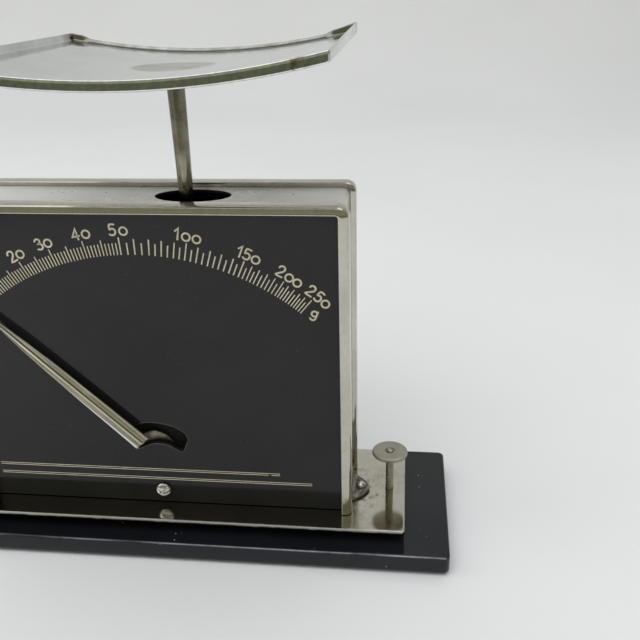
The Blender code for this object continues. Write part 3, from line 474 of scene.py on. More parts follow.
def hand_streaks_and_light(n, colour, roughness):
    """Draw lines along the hand: an olive face, painted highlights on the upper edge, the fold and the lower
    edge, a painted shade line.
    """
    turned = n.stretched((1.0, 1.0, 1.0), (0.0, -HAND_HEADING, 0.0))
    split = n.add("ShaderNodeSeparateXYZ")
    n.put(split.inputs[0], turned)
    middle = HAND_TAIL.x * cos(HAND_HEADING) - HAND_TAIL.y * sin(HAND_HEADING)
    place = n.minus(split.outputs["X"], middle)

    def band(low, high, soft=0.00012):
        return n.times(n.ramp(place, low - soft, low), n.fall(place, high, high + soft))

    drawn = n.stretched((1.0, 1.0, 0.03), where=turned)
    streak = n.ramp(n.noise(1500, 3, 0.6, drawn), 0.38, 0.62)
    colour = n.mix(n.times(streak, 0.75), colour, (0.16, 0.15, 0.09))
    # painted highlights and painted shade drawn as lines along the hand
    for low, high, share, tone in HAND_PAINTED_LIGHT:
        colour = n.mix(n.times(band(low, high), share), colour, tone)
    return colour, n.plus(roughness, n.times(streak, 0.08))


NICKEL_HAND = nickel("nickel_hand", (0.47, 0.44, 0.33), (0.37, 0.345, 0.25), (0.18, 0.32), 0.5,
                     stain_amount=0.4, relief=0.06, extra=hand_streaks_and_light)
NICKEL_KNOB = nickel("nickel_knob", (0.46, 0.44, 0.37), (0.33, 0.31, 0.25), (0.26, 0.42), 0.8,
                     stain_amount=0.6, relief=0.22)
NICKEL_THREAD = nickel("nickel_thread", (0.46, 0.43, 0.35), (0.30, 0.27, 0.20), (0.18, 0.32), 0.4,
                       stain_amount=0.4, grain=(1.0, 1.0, 0.05), relief=0.04)
# the slab gets the painted highlight along its front top edge
BLACK_SLAB = lacquer("black_slab", (0.0055, 0.0060, 0.0075), 0.05, dust=0.8, speck_scale=300, gloss=0.36,
                     painted_edge_line=slab_edge_highlight)
BLACK_DIAL = lacquer("black_dial", (0.009, 0.009, 0.0095), 0.10, dust=0.18, speck_scale=520, relief=0.03,
                     gloss=0.31)
RUST = rust("rusted_iron", (0.34, 0.30, 0.25), (0.17, 0.085, 0.04))
RUST_LIGHT = rust("stained_iron", (0.36, 0.34, 0.31), (0.10, 0.065, 0.04), (0.40, 0.62))
STEEL = worked_metal("works_steel", (0.46, 0.45, 0.42), (0.34, 0.33, 0.30), stain=(0.20, 0.14, 0.09))
BROWN_STEEL = worked_metal("brown_steel", (0.33, 0.30, 0.24), (0.20, 0.17, 0.125), (0.35, 0.55),
                           stain=(0.16, 0.09, 0.05))
SCREW_STEEL = worked_metal("screw_steel", (0.70, 0.69, 0.66), (0.54, 0.53, 0.50), (0.14, 0.26))
BRASS = worked_metal("brass", (0.62, 0.46, 0.20), (0.44, 0.31, 0.13), (0.22, 0.40))
CREAM = enamel("cream_enamel", (0.66, 0.61, 0.44), (0.54, 0.49, 0.34))
WORN_EDGE = worked_metal("worn_edge", (0.30, 0.30, 0.28), (0.08, 0.08, 0.08), (0.25, 0.40))
# painted shade: near-black matt for the works plate and the slot's wall, where the inside of the case lies in
# shade
SHADE_BLACK = worked_metal("painted_shade_black", (0.012, 0.012, 0.012), (0.006, 0.006, 0.006), (0.85, 0.95),
                    metallic=0.0)
RUBBER = worked_metal("rubber", (0.030, 0.030, 0.030), (0.018, 0.018, 0.018), (0.75, 0.9), metallic=0.0)

# frame_front_plate gets the near-black painted shade
CAD_FINISH = {
    "base_slab": BLACK_SLAB, "dial_plate": BLACK_DIAL, "case_band": NICKEL_BAND, "foot_plate": NICKEL_PLATE,
    "rear_cover": NICKEL, "pointer_neck": NICKEL_HAND, "pointer_hub": BROWN_STEEL,
    "case_lug_left": RUST, "case_lug_right": RUST, "lug_screw_left": RUST, "lug_screw_right": RUST,
    "stem_flange": NICKEL, "frame_front_plate": SHADE_BLACK, "dial_spacer": BRASS, "pendulum_weight": BRASS,
    "auxiliary_weight": BRASS, "levelling_bush": NICKEL,
}
for name, node in NODES.items():
    node.data.materials.clear()
    node.data.materials.append(RUBBER if name.startswith("foot_pad") else CAD_FINISH.get(name, STEEL))


# ---------------------------------------------------------------- case and base

def rounded_loops(half_x, low_y, high_y, corner, levels, steps=8):
    """Closed rings of a rounded rectangle, one for each (inset, z) level."""
    rings = []
    for inset, z in levels:
        radius = max(corner - inset, 0.0002)
        ring = []
        for sign_x, sign_y, start in ((1, 1, 0), (-1, 1, 90), (-1, -1, 180), (1, -1, 270)):
            centre = (sign_x * (half_x - inset - radius), (high_y - inset - radius) if sign_y > 0 else
                      (low_y + inset + radius))
            ring += [(x, y, z) for x, y in arc(centre, radius, start, start + 90, steps)]
        rings.append(ring)
    return rings


def softened(low, high, radius, steps=4):
    """Levels that round both edges of a slab."""
    turns = [pi / 2 * i / steps for i in range(steps + 1)]
    bottom = [(radius * (1 - sin(t)), low + radius * (1 - cos(t))) for t in turns]
    top = [(radius * (1 - cos(t)), high - radius * (1 - sin(t))) for t in turns]
    return [(radius + 0.0004, low)] + bottom + top + [(radius + 0.0004, high)]


def build_base():
    low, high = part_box("base_slab")
    levels = softened(low.z, high.z, 0.0009, 6)
    slab = piece("slab_body", loft(rounded_loops(high.x, low.y, high.y, 0.0024, levels)), "base", BLACK_SLAB,
                 ["base_slab"])
    x = centre_of("hold_down_screw")[0]
    carve(slab, lathe([(0.0024, -0.01), (0.0024, 0.02)], (x, 0, 0)),
          lathe([(0.0042, -0.01), (0.0042, 0.0048)], (x, 0, 0)))
    low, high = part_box("foot_plate")
    levels = softened(low.z, high.z, 0.0002, 3)
    plate = piece("foot_sheet", loft(rounded_loops(high.x, low.y, high.y, 0.0010, levels)), "chassis",
                  NICKEL_PLATE, ["foot_plate"])
    holes = []
    radii = {"levelling_screw": 0.00157, "hold_down_screw": 0.00175, "lug_screw_left": 0.0014,
             "lug_screw_right": 0.0014, "pivot_foot_front": 0.0013, "pivot_foot_rear": 0.0013,
             "frame_screw_1": 0.0013, "frame_screw_2": 0.0013}
    for name, radius in radii.items():
        holes.append(lathe([(radius, 0.0), (radius, 0.03)], (*centre_of(name)[:2], 0), segments=32))
    carve(plate, *holes)


def sweep_u(inner, outer, section):
    """Sweeps (share from inner to outer edge, y) points along an inverted U."""
    rings = []
    for (xi, zi), (xo, zo) in zip(inner, outer):
        rings.append([(xi + (xo - xi) * share, y, zi + (zo - zi) * share) for share, y in section])
    return loft(rings)


def smooth_through(points, steps=4):
    """A Catmull-Rom curve through (a, b) points, ends kept."""
    found = []
    for i in range(len(points) - 1):
        p0, p1 = points[max(i - 1, 0)], points[i]
        p2, p3 = points[i + 1], points[min(i + 2, len(points) - 1)]
        for k in range(steps):
            t = k / steps
            found.append(tuple(0.5 * (2 * b + (c - a) * t + (2 * a - 5 * b + 4 * c - d) * t * t
                                      + (3 * b - a - 3 * c + d) * t ** 3)
                               for a, b, c, d in zip(p0, p1, p2, p3)))
    return found + [points[-1]]


BEZEL_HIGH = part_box("front_bezel")[1]
BEZEL = dict(inner_x=0.0662, inner_top=0.1264, inner_corner=0.0008, outer_x=BEZEL_HIGH.x,
             outer_top=BEZEL_HIGH.z, outer_corner=0.0038)
RIM_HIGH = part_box("rear_rim")[1]
RIM = dict(inner_x=0.0650, inner_top=0.1260, inner_corner=0.0006, outer_x=RIM_HIGH.x, outer_top=RIM_HIGH.z,
           outer_corner=0.0034)


def mould(name, sizes, section, node):
    inner = inverted_u(sizes["inner_x"], sizes["inner_top"], sizes["inner_corner"])
    outer = inverted_u(sizes["outer_x"], sizes["outer_top"], sizes["outer_corner"])
    return piece(name, sweep_u(inner, outer, section), "chassis", NICKEL, [node], 50)


def build_case():
    front = [(0.0, -0.0152), (0.0, -0.0166), (0.03, -0.0172), (0.08, -0.01756), (0.17, -0.01768),
             (0.35, -0.01760), (0.52, -0.01743), (0.68, -0.01722), (0.83, -0.01695), (0.94, -0.0163),
             (1.0, -0.0150)]
    section = smooth_through(front, 4) + [(1.0, -0.0119), (0.97, -0.0116), (0.74, -0.0116), (0.72, -0.0118),
                                          (0.72, -0.0150)]
    mould("bezel_moulding", BEZEL, section, "front_bezel")
    low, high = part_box("rear_rim")
    band_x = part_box("case_band")[1].x
    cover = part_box("rear_cover")
    width = RIM["outer_x"] - RIM["inner_x"]
    clear = (band_x + 0.00005 - RIM["inner_x"]) / width
    pocket = (cover[1].x + 0.0005 - RIM["inner_x"]) / width
    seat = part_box("case_band")[1].y + 0.0003
    back = [(0.92, low.y), (0.98, low.y + 0.0004), (1.0, low.y + 0.0011), (1.0, high.y - 0.0026),
            (0.95, high.y - 0.0014), (0.82, high.y - 0.0005), (0.60, high.y), (0.32, high.y - 0.0003),
            (0.10, high.y - 0.0011), (0.0, high.y - 0.0020)]
    section = [(clear, seat), (clear, low.y)] + smooth_through(back, 3)
    section += [(0.0, cover[1].y + 0.0002), (pocket, cover[1].y + 0.0002), (pocket, seat)]
    mould("rim_moulding", RIM, section, "rear_rim")


def dome(radius, height, seat, segments=5, flat=0.03):
    turns = [pi / 2 * i / segments for i in range(segments + 1)]
    return [(max(radius * cos(t), radius * flat), seat + height * sin(t)) for t in turns]


def slotted_head(name, node, radius, height, turn, finish, depth=0.5, outward=-1):
    """A round-headed screw along Y with a driver's slot."""
    low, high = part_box(node)
    x, _, z = centre_of(node)
    seat = (low.y if outward < 0 else high.y) - outward * height
    shank = min(radius * 0.45, 0.0011)
    profile = [(shank, high.y if outward < 0 else low.y), (shank, seat), (radius * 0.96, seat),
               (radius, seat + outward * height * 0.12)]
    profile += dome(radius, outward * height * 0.88, seat + outward * height * 0.12, 8)[1:]
    made = piece(name, lathe(profile, (x, 0, z), "Y", 48), "chassis", finish, [node])
    middle = seat + outward * height * (1 - depth / 2 + 0.25)
    reach = height * (depth / 2 + 0.25)
    groove = box_bm((x - radius * 1.3, middle - reach, z - radius * 0.12),
                    (x + radius * 1.3, middle + reach, z + radius * 0.12), -turn)
    return carve(made, groove)


def build_lug(side):
    """A folded angle: a pointed tongue on the plate and a leaf up the case's side, edges rounded."""
    low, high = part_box(f"case_lug_{side}")
    sign = 1 if side == "right" else -1
    near, tip = (low.x, high.x) if sign > 0 else (high.x, low.x)
    reach = abs(tip - near)
    middle, half = (low.y + high.y) / 2, (high.y - low.y) / 2
    tongue = [(0.0, half), (0.22, half * 0.97), (0.42, half * 0.80), (0.66, 0.0049), (0.84, 0.0029),
              (0.95, 0.0013), (1.0, 0.0003)]
    tongue += [(share, -y) for share, y in reversed(tongue)]
    rings = []
    for inset, z in ((0.0003, 0.0), (0.0, 0.0003), (0.0, 0.0008), (0.0001, 0.00105), (0.0005, 0.0012)):
        ring = []
        for share, y in tongue:
            pull = min(inset, abs(y))
            x = near + sign * (reach * share - inset * share * 1.6)
            ring.append((x, middle + y - copysign(pull, y), low.z + z))
        rings.append(ring)
    bm = loft(rings)
    leaf = [(-0.0062, 0.0004), (0.0062, 0.0004), (0.0060, 0.0034), (0.0046, 0.0058), (0.0028, 0.0080),
            (0.0012, 0.0084), (-0.0012, 0.0084), (-0.0028, 0.0080), (-0.0046, 0.0058), (-0.0060, 0.0034)]
    sheets = []
    for inset, out in ((0.0, 0.0), (0.0, 0.0006), (0.0002, 0.00085), (0.0005, 0.0009)):
        share = 1 - inset / 0.0062
        sheets.append([(near + sign * out, middle + y * share, low.z + z * share) for y, z in leaf])
    loft(sheets, bm=bm)
    piece(f"lug_{side}", bm, "chassis", RUST_LIGHT, [f"case_lug_{side}"], 30)


def build_screws():
    slotted_head("dial_screw", "front_screw", 0.0028, 0.0018, radians(42), SCREW_STEEL)
    for number, turn in ((1, 25), (2, -60)):
        slotted_head(f"cover_head_{number}", f"cover_screw_{number}", 0.0023, 0.0012, radians(turn),
                     SCREW_STEEL, outward=1)
    for side in ("left", "right"):
        low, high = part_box(f"lug_screw_{side}")
        x, y, _ = centre_of(f"lug_screw_{side}")
        radius = (high.x - low.x) / 2
        lug_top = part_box(f"case_lug_{side}")[0].z + 0.0012
        seat = lug_top + 0.0003
        profile = [(0.0011, low.z), (0.0011, seat), (radius * 0.95, seat), (radius, seat + 0.0002)]
        profile += dome(radius, high.z - seat - 0.0002, seat + 0.0002, 8, 0.05)[1:]
        build_lug(side)
        piece(f"lug_dome_{side}", lathe(profile, (x, y, 0), segments=40), "chassis", SCREW_STEEL,
              [f"lug_screw_{side}"])


# ---------------------------------------------------------------- dial print

PRINT_LIFT = 0.00004


class Print:
    """Flat strokes just in front of the dial, gathered in one mesh."""

    def __init__(self):
        self.bm = bmesh.new()
        self.layer = 0

    def face_row(self, left, right):
        self.layer += 1
        y = FACE_Y - PRINT_LIFT - 0.000002 * (self.layer % 5)
        a = [self.bm.verts.new((p[0], y, p[1])) for p in left]
        b = [self.bm.verts.new((p[0], y, p[1])) for p in right]
        for i in range(len(a) - 1):
            self.bm.faces.new((a[i], a[i + 1], b[i + 1], b[i]))

    def stroke(self, points, width, round_ends=True):
        """A ribbon along (x, z) points, with round ends."""
        points = [Vector(p) for p in points]
        left, right = [], []

        def cap(spot, heading, steps):
            for i in steps:
                angle = pi / 2 * i / 5
                end = spot + heading * (width / 2 * cos(angle))
                side = Vector((-heading.y, heading.x)) * (width / 2 * sin(angle))
                if steps[0] == 1:
                    side = -side
                left.append(end + side)
                right.append(end - side)

        if round_ends:
            cap(points[0], (points[0] - points[1]).normalized(), range(1, 5))
        for i, spot in enumerate(points):
            before = points[i] - points[i - 1] if i else points[1] - points[0]
            after = points[i + 1] - points[i] if i < len(points) - 1 else before
            heading = (before.normalized() + after.normalized()).normalized()
            spread = 1 / max(heading.dot(after.normalized()), 0.5)
            side = Vector((-heading.y, heading.x)) * (width / 2 * spread)
            left.append(spot + side)
            right.append(spot - side)
        if round_ends:
            cap(points[-1], (points[-1] - points[-2]).normalized(), range(4, 0, -1))
        self.face_row(left, right)

    def ring(self, centre, radius, width, stretch=1.0, turn=0.0, steps=28):
        inner, outer = [], []
        for i in range(steps + 1):
            angle = 2 * pi * i / steps
            for found, reach in ((inner, radius - width / 2), (outer, radius + width / 2)):
                a, b = reach * cos(angle), reach * sin(angle) * stretch
                found.append((centre[0] + a * cos(turn) + b * sin(turn),
                              centre[1] - a * sin(turn) + b * cos(turn)))
        self.face_row(outer, inner)


# Figures as strokes in a box one unit high: the small round nought sits on the foot line
FIGURES = {
    "1": [[(0.10, 0.72), (0.36, 1.0), (0.36, 0.0)]],
    "2": [[(0.06, 0.74), (0.10, 0.88), (0.24, 0.98), (0.42, 0.98), (0.56, 0.87), (0.57, 0.68), (0.48, 0.50),
           (0.06, 0.03), (0.64, 0.03)]],
    "3": [[(0.08, 0.86), (0.25, 0.99), (0.46, 0.95), (0.55, 0.78), (0.45, 0.60), (0.28, 0.55), (0.47, 0.50),
           (0.60, 0.33), (0.55, 0.12), (0.35, 0.01), (0.08, 0.10)]],
    "4": [[(0.50, 0.0), (0.50, 1.0), (0.04, 0.30), (0.66, 0.30)]],
    "5": [[(0.56, 0.97), (0.16, 0.97), (0.11, 0.55), (0.30, 0.61), (0.47, 0.57), (0.59, 0.42), (0.58, 0.22),
           (0.46, 0.06), (0.27, 0.01), (0.06, 0.10)]],
    "g": [[(0.52, 0.62), (0.52, -0.06), (0.42, -0.24), (0.22, -0.28), (0.06, -0.20)]],
}
FIGURE_HEIGHT = 0.0037
FIGURE_STROKE = 0.00060
NOUGHT_RADIUS = 0.00128


def figure(ink, char, angle, radius=0.0922, lean=None):
    """Draws a figure whose middle is at a clock angle on the scale, upright along its own radius."""
    place = clock(radius, angle)
    turn = radians(angle if lean is None else lean)
    along = Vector((cos(turn), -sin(turn)))
    upward = Vector((sin(turn), cos(turn)))
    foot = place - upward * (FIGURE_HEIGHT * 0.40)
    if char == "0":
        ink.ring(foot + upward * NOUGHT_RADIUS, NOUGHT_RADIUS, FIGURE_STROKE)
        return
    for line in FIGURES[char]:
        line = smooth_through(line, 3) if len(line) > 4 else line
        ink.stroke([foot + along * ((a - 0.34) * FIGURE_HEIGHT) + upward * (b * FIGURE_HEIGHT)
                    for a, b in line], FIGURE_STROKE)
    if char == "g":
        ink.ring(foot + along * (-0.06 * FIGURE_HEIGHT) + upward * (0.34 * FIGURE_HEIGHT),
                 0.25 * FIGURE_HEIGHT, FIGURE_STROKE)


# Clock angle of each 10 g mark from 50 g on; 5 g marks lie halfway
TENS = {50: -2.7, 60: 0.45, 70: 3.6, 80: 6.3, 90: 9.0, 100: 11.5, 110: 14.0, 120: 16.6, 130: 19.0, 140: 21.5,
        150: 23.7, 160: 25.6, 170: 27.3, 180: 29.15, 190: 30.9, 200: 32.7, 210: 34.05, 220: 35.45, 230: 36.9,
        240: 38.2, 250: 39.6}
TICK_FOOT = 0.08405
TICK_TOP = {"long": 0.0900, "middle": 0.0894, "short": 0.0881}


def scale_angle(grams):
    """Clock angle of a load on the scale."""
    if grams <= 50:
        return -40.3 + 0.7045 * grams + 0.00095 * grams * grams
    low = min(int(grams // 10) * 10, 240)
    return TENS[low] + (TENS[low + 10] - TENS[low]) * (grams - low) / 10


def build_print():
    ink = Print()
    for grams in list(range(0, 50)) + list(range(50, 251, 5)):
        angle = scale_angle(grams)
        fine = grams < 50
        if grams % (10 if fine else 50) == 0:
            top = TICK_TOP["long"]
        elif grams % (5 if fine else 10) == 0:
            top = TICK_TOP["middle"]
        else:
            top = TICK_TOP["short"]
        width = 0.00036 if fine or grams > 150 else 0.00044
        ink.stroke([clock(TICK_FOOT, angle), clock(top, angle)], width, False)
    words = {"0": (-38.5,), "10": (-33.0, -31.4), "20": (-26.5, -24.6), "30": (-19.7, -17.8),
             "40": (-11.5, -9.3), "50": (-3.65, -1.45), "100": (9.55, 11.25, 13.4),
             "150": (22.35, 23.8, 25.7), "200": (31.15, 33.2, 35.1), "250": (38.25, 40.3, 42.2)}
    for word, angles in words.items():
        for char, angle in zip(word, angles):
            figure(ink, char, angle)
    figure(ink, "g", 42.1, 0.0872, 22)
    for rise, reach, worn in ((0.0144, 0.0439, (0.0398, 0.0408)), (0.0106, 0.0555, None)):
        z = PLATE_TOP + rise
        for offset in (-0.00037, 0.00037):
            stops = [-0.0620, reach]
            if worn and offset < 0:
                stops = [-0.0620, worn[0], worn[1], reach]
            for a, b in zip(stops[::2], stops[1::2]):
                ink.stroke([(a, z + offset), (b, z + offset)], 0.00026, False)
    made = piece("dial_print", ink.bm, "chassis", CREAM)
    for face in made.data.polygons:
        if face.normal.y > 0:
            face.flip()


SLOT = [(0.0202, -36.5), (0.0208, -22.0), (0.0208, -6.0), (0.0203, 15.0), (0.0196, 30.0), (0.0180, 38.4),
        (0.0152, 41.5), (0.0130, 45.3), (0.0117, 39.0), (0.0119, 16.0), (0.0119, -8.0), (0.0118, -33.0),
        (0.0123, -42.2), (0.0142, -42.4), (0.0180, -40.0)]


def build_slot_edge():
    """The arc slot's edge, rubbed down to the metal, which catches the light, and its wall in near-black
    painted shade.
    """
    points = [clock(radius, angle) for radius, angle in SLOT]
    points = [Vector(p) for p in smooth_through(points[-2:] + points + points[:2], 3)[6:-7]]
    ahead = points[1:] + points[:1]
    outward = []
    for i, after in enumerate(ahead):
        along = after - points[i - 1]
        outward.append(Vector((-along.y, along.x)).normalized())
    edge = [(-0.00003, 0.00040), (-0.00003, 0.00006), (0.00002, -0.00003), (0.00009, -0.00005),
            (0.00016, -0.00003), (0.00019, 0.00002)]
    wall = [(-0.00004, 0.00030), (-0.00006, 0.00080), (-0.00006, 0.00150), (-0.00002, 0.00160)]
    # the slot's wall gets the near-black painted shade
    for name, levels, finish in (("slot_edge", edge, WORN_EDGE), ("slot_wall", wall, SHADE_BLACK)):
        rings = [[((p + o * grow).x, FACE_Y + sink, (p + o * grow).y) for p, o in zip(points, outward)]
                 for grow, sink in levels]
        piece(name, loft(rings, caps=False), "chassis", finish, sharp=80)


def build_hub():
    """The boss on the hand's axle and its broad arm, creased where it turns towards the hand."""
    boss = [(0.0016, -0.0122), (0.0042, -0.0122), (0.0046, -0.0119), (0.0046, -0.0110), (0.0016, -0.0110)]
    bm = lathe(boss, (CENTRE.x, 0, CENTRE.y), "Y", 40, loop=True)
    rim = [(-50, 0.0085), (-42, 0.0140), (-38, 0.0146), (-28, 0.0152), (-16, 0.0158), (-6, 0.0159),
           (1, 0.0152), (8, 0.0145), (17, 0.0130), (30, 0.0112), (38, 0.0090)]
    rings = []
    for angle, reach in rim:
        front = -0.0122 + (0.000030 if angle < -6 else 0.000020) * abs(angle + 6)
        ring = []
        for radius, y in ((0.0040, -0.0110), (reach, -0.0110), (reach, front + 0.0002),
                          (reach - 0.0002, front), (0.0040, front)):
            spot = clock(radius, angle)
            ring.append((spot.x, y, spot.y))
        rings.append(ring)
    loft(rings, bm=bm)
    piece("hub_arm", bm, "pointer", BROWN_STEEL, ["pointer_hub"], 30)


# ---------------------------------------------------------------- pan, stem, hand and levelling screw

PAN_LOW, PAN_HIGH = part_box("letter_pan")
PAN_X = centre_of("letter_pan")[0]
PAN_HALF_X = (PAN_HIGH.x - PAN_LOW.x) / 2
PAN_HALF_Y = PAN_HIGH.y
PAN_FLOOR = 0.1675
PAN_SHEET = 0.0008
PAN_CURVE_X = 0.0120
PAN_CURVE = 0.2450
PAN_LEAN = 0.0106
PAN_CORNER = 0.0013
PAN_RIM = 0.0030
BACK_RIM = 0.0021
BACK_FLARE = 0.0021
CORNER_LIFT = 0.0007               # the right-hand back corner stands a little higher


def eased(value, low, high):
    t = min(max((value - low) / (high - low), 0.0), 1.0)
    return t * t * (3 - 2 * t)


def build_pan():
    """A folded sheet curved along X: an upright lip all round, lower and flared along the back."""
    steps_corner, steps_flat = 6, 72

    def stations(inset):
        radius = max(PAN_CORNER - inset, 0.0003)
        half_x = PAN_HALF_X - inset
        half_y = PAN_HALF_Y - inset
        found = []
        for i in range(steps_corner):
            a = pi / 2 * i / steps_corner
            found.append((-half_x + radius * (1 - cos(a)), half_y - radius * (1 - sin(a))))
        span = 2 * (half_x - radius)
        found += [(-half_x + radius + span * i / steps_flat, half_y) for i in range(steps_flat + 1)]
        return found + [(-x, y) for x, y in found[steps_corner - 1::-1]]

    def low_back(x, y):
        """1 along the back lip between the folded corners, 0 elsewhere."""
        middle = eased(x, -0.0335, -0.0300) * (1 - eased(x, 0.0565, 0.0600))
        return middle * eased(y, PAN_HALF_Y - 0.0060, PAN_HALF_Y - 0.0045)

    # inset, height, 1 where the height is from the lip's top, share of the back's flare
    lip = [(0.0008, 0.0, 0, 0), (0.00015, 0.00005, 0, 0), (0.00003, 0.00018, 0, 0), (0.0, 0.0003, 0, 0),
           (0.0, 0.0006, 0, 0), (0.0, -0.0010, 1, 0), (0.0, -0.0008, 1, 0), (0.00006, -0.00035, 1, 0),
           (0.00022, -0.00008, 1, 0), (0.00042, 0.0, 1, 0), (0.00062, -0.00008, 1, 0),
           (0.00080, -0.00035, 1, 0), (0.00095, -0.0009, 1, 0.3), (0.00105, 0.0013, 0, 0.75),
           (0.00125, 0.00100, 0, 0.9), (0.00170, PAN_SHEET + 0.00003, 0, 1.0), (0.0030, PAN_SHEET, 0, 1.0)]
    bm = bmesh.new()
    loops = []
    for inset, rise, from_top, flare in lip:
        row = []
        for side in (-1, 1):
            points = []
            for x, y in stations(inset):
                x, y = PAN_X + x, side * y
                share = low_back(x, y)
                rim = PAN_RIM - (PAN_RIM - BACK_RIM) * share
                rim += CORNER_LIFT * eased(x, 0.0600, 0.0680) * eased(y, 0.0, 0.05)
                height = rise + rim * from_top
                y -= BACK_FLARE * flare * share
                floor = PAN_FLOOR + (x - PAN_CURVE_X) ** 2 / (2 * PAN_CURVE) - PAN_LEAN * y
                points.append(bm.verts.new((x, y, floor + height)))
            row.append(points)
        loops.append(row)
    for one, two in zip(loops, loops[1:]):
        ring_one = one[0] + one[1][::-1]
        ring_two = two[0] + two[1][::-1]
        count = len(ring_one)
        for i in range(count):
            bm.faces.new((ring_one[i], ring_one[(i + 1) % count], ring_two[(i + 1) % count], ring_two[i]))
    for front, back in (loops[0], loops[-1]):
        for i in range(len(front) - 1):
            bm.faces.new((front[i], front[i + 1], back[i + 1], back[i]))
    piece("pan_sheet", bm, "pan", NICKEL_PAN, ["letter_pan"], 60)


def build_stem():
    """A tapered rolled rod whose seam shows as a fine groove."""
    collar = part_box("stem_flange")[0].z
    shoulder = STEM_LOW.z + 0.0025
    rows = [(STEM_LOW.z, 0.0013), (shoulder - 0.0002, 0.0013), (shoulder - 0.0002, 0.0019),
            (shoulder, 0.00205)]
    rows += [(shoulder + (STEM_HIGH.z - shoulder) * i / 24, 0.00205 + 0.0008 * i / 24) for i in range(1, 25)]
    seam = radians(-112)
    rings = []
    for z, radius in rows:
        deep = 0.00016 if radius > 0.0015 else 0.0

        def reach(i, angle):
            apart = remainder(angle - seam, 2 * pi)
            return radius - deep * exp(-(apart / 0.09) ** 2)

        rings.append(round_ring(56, STEM_X, min(z, collar - 0.0002), reach))
    piece("stem_rod", loft(rings), "pan", NICKEL_STEM, ["pan_stem"], 50)


HAND_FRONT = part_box("pointer")[0].y
HAND_LENGTH = 0.0719
# across the strip from its upper to its lower edge, then back: place, depth behind the front
HAND_RIDGES = [(0.0030, 0.00060), (0.0030, 0.00030), (0.00292, 0.00016), (0.0027, 0.00010), (0.0024, 0.00016),
               (0.0004, 0.00014), (0.0001, 0.00026), (-0.0003, 0.00002), (-0.0006, 0.0), (-0.0008, 0.00014),
               (-0.0011, 0.00042), (-0.0016, 0.00052), (-0.0032, 0.00104), (-0.0036, 0.00122),
               (-0.0040, 0.00116), (-0.0044, 0.00120), (-0.0046, 0.00150), (-0.0046, 0.00205),
               (-0.0036, 0.00180), (-0.0004, 0.00062)]


def build_hand():
    """A creased strip with a square tail that rounds back to the dial, narrowing to a fine tip."""
    along = Vector((sin(HAND_HEADING), cos(HAND_HEADING)))
    across = Vector((along.y, -along.x))
    stations = []
    for i in range(7):
        t = radians(80 * (1 - i / 7))
        width = 1.0 - 0.05 * (1 - i / 7) ** 2
        stations.append((0.0009 * (1 - sin(t)), width, 0.0011 * (1 - cos(t))))
    for share, width in ((0.0126, 1.0), (0.20, 0.93), (0.40, 0.86), (0.60, 0.73), (0.75, 0.60), (0.85, 0.42),
                         (0.92, 0.25), (0.97, 0.12), (1.0, 0.05)):
        stations.append((HAND_LENGTH * share, width, 0.0))
    rings = []
    for distance, width, sink in stations:
        ring = []
        for place, depth in HAND_RIDGES:
            spot = HAND_TAIL + along * distance + across * (place * width)
            ring.append((spot.x, HAND_FRONT + sink * (1 if depth < 0.0015 else 0.2)
                         + depth * (0.35 + 0.65 * width), spot.y))
        rings.append(ring)
    piece("hand", loft(rings), "pointer", NICKEL_HAND, ["pointer"], 24)


def build_knob():
    """A thin disc with a finely knurled edge, peened on the screw's end."""
    low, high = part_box("levelling_knob")
    x = centre_of("levelling_knob")[0]
    radius = (high.x - low.x) / 2
    lid = low.z + 0.0013
    teeth = 88
    # radius, height, 1 where the knurling is cut
    profile = [(radius - 0.0005, low.z, 0), (radius - 0.00012, low.z + 0.00012, 1),
               (radius, low.z + 0.0003, 1), (radius, lid - 0.0003, 1),
               (radius - 0.00012, lid - 0.0001, 1), (radius - 0.0004, lid, 0),
               (radius * 0.8, lid + 0.00002, 0), (radius * 0.45, lid + 0.00002, 0), (0.00190, lid, 0),
               (0.00175, lid - 0.00030, 0), (0.00140, lid - 0.00032, 0), (0.00128, lid + 0.00010, 0),
               (0.00100, lid + 0.00042, 0), (0.00060, lid + 0.00052, 0), (0.00030, lid + 0.00034, 0),
               (0.00008, lid + 0.00028, 0)]
    rings = [round_ring(teeth * 2, x, z, lambda i, angle: reach - (0.00011 if knurled and i % 2 else 0.0))
             for reach, z, knurled in profile]
    piece("knob_disc", loft(rings), "levelling_head", NICKEL_KNOB, ["levelling_knob"], 35)

    low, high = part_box("levelling_screw")
    outer = (high.x - low.x) / 2
    pitch, depth, count = 0.0005, 0.00010, 28
    rows = int((high.z - low.z - 0.0014) / pitch * 6)
    rings = [round_ring(count, x, low.z, lambda i, angle: 0.0005)]
    for k in range(rows + 1):
        rings.append(round_ring(count, x, low.z + 0.0009 + pitch * k / 6, lambda i, angle:
                                outer - depth * abs(2 * ((k / 6 - i / count) % 1.0) - 1)))
    piece("screw_thread", loft(rings), "levelling_stem", NICKEL_THREAD, ["levelling_screw"], 60)


# ---------------------------------------------------------------- stage, light and camera

TABLE_EDGE = -0.72                 # the table shows in the metal up to here
WALL_RADIUS = 2.3
WALL_HEIGHT = 2.6


def scenery(name, bm, finish):
    """Makes one piece of the stage."""
    mesh = mesh_of(name, bm)
    mesh.shade_smooth()
    mesh.materials.append(finish)
    made = placed(name, mesh)
    return made


def strip(rows):
    """A broad strip through (y, z) rows."""
    bm = bmesh.new()
    left, right = ([bm.verts.new((x, y, z)) for y, z in rows] for x in (-2.4, 2.4))
    for i in range(len(rows) - 1):
        bm.faces.new((left[i], right[i], right[i + 1], left[i + 1]))
    return bm


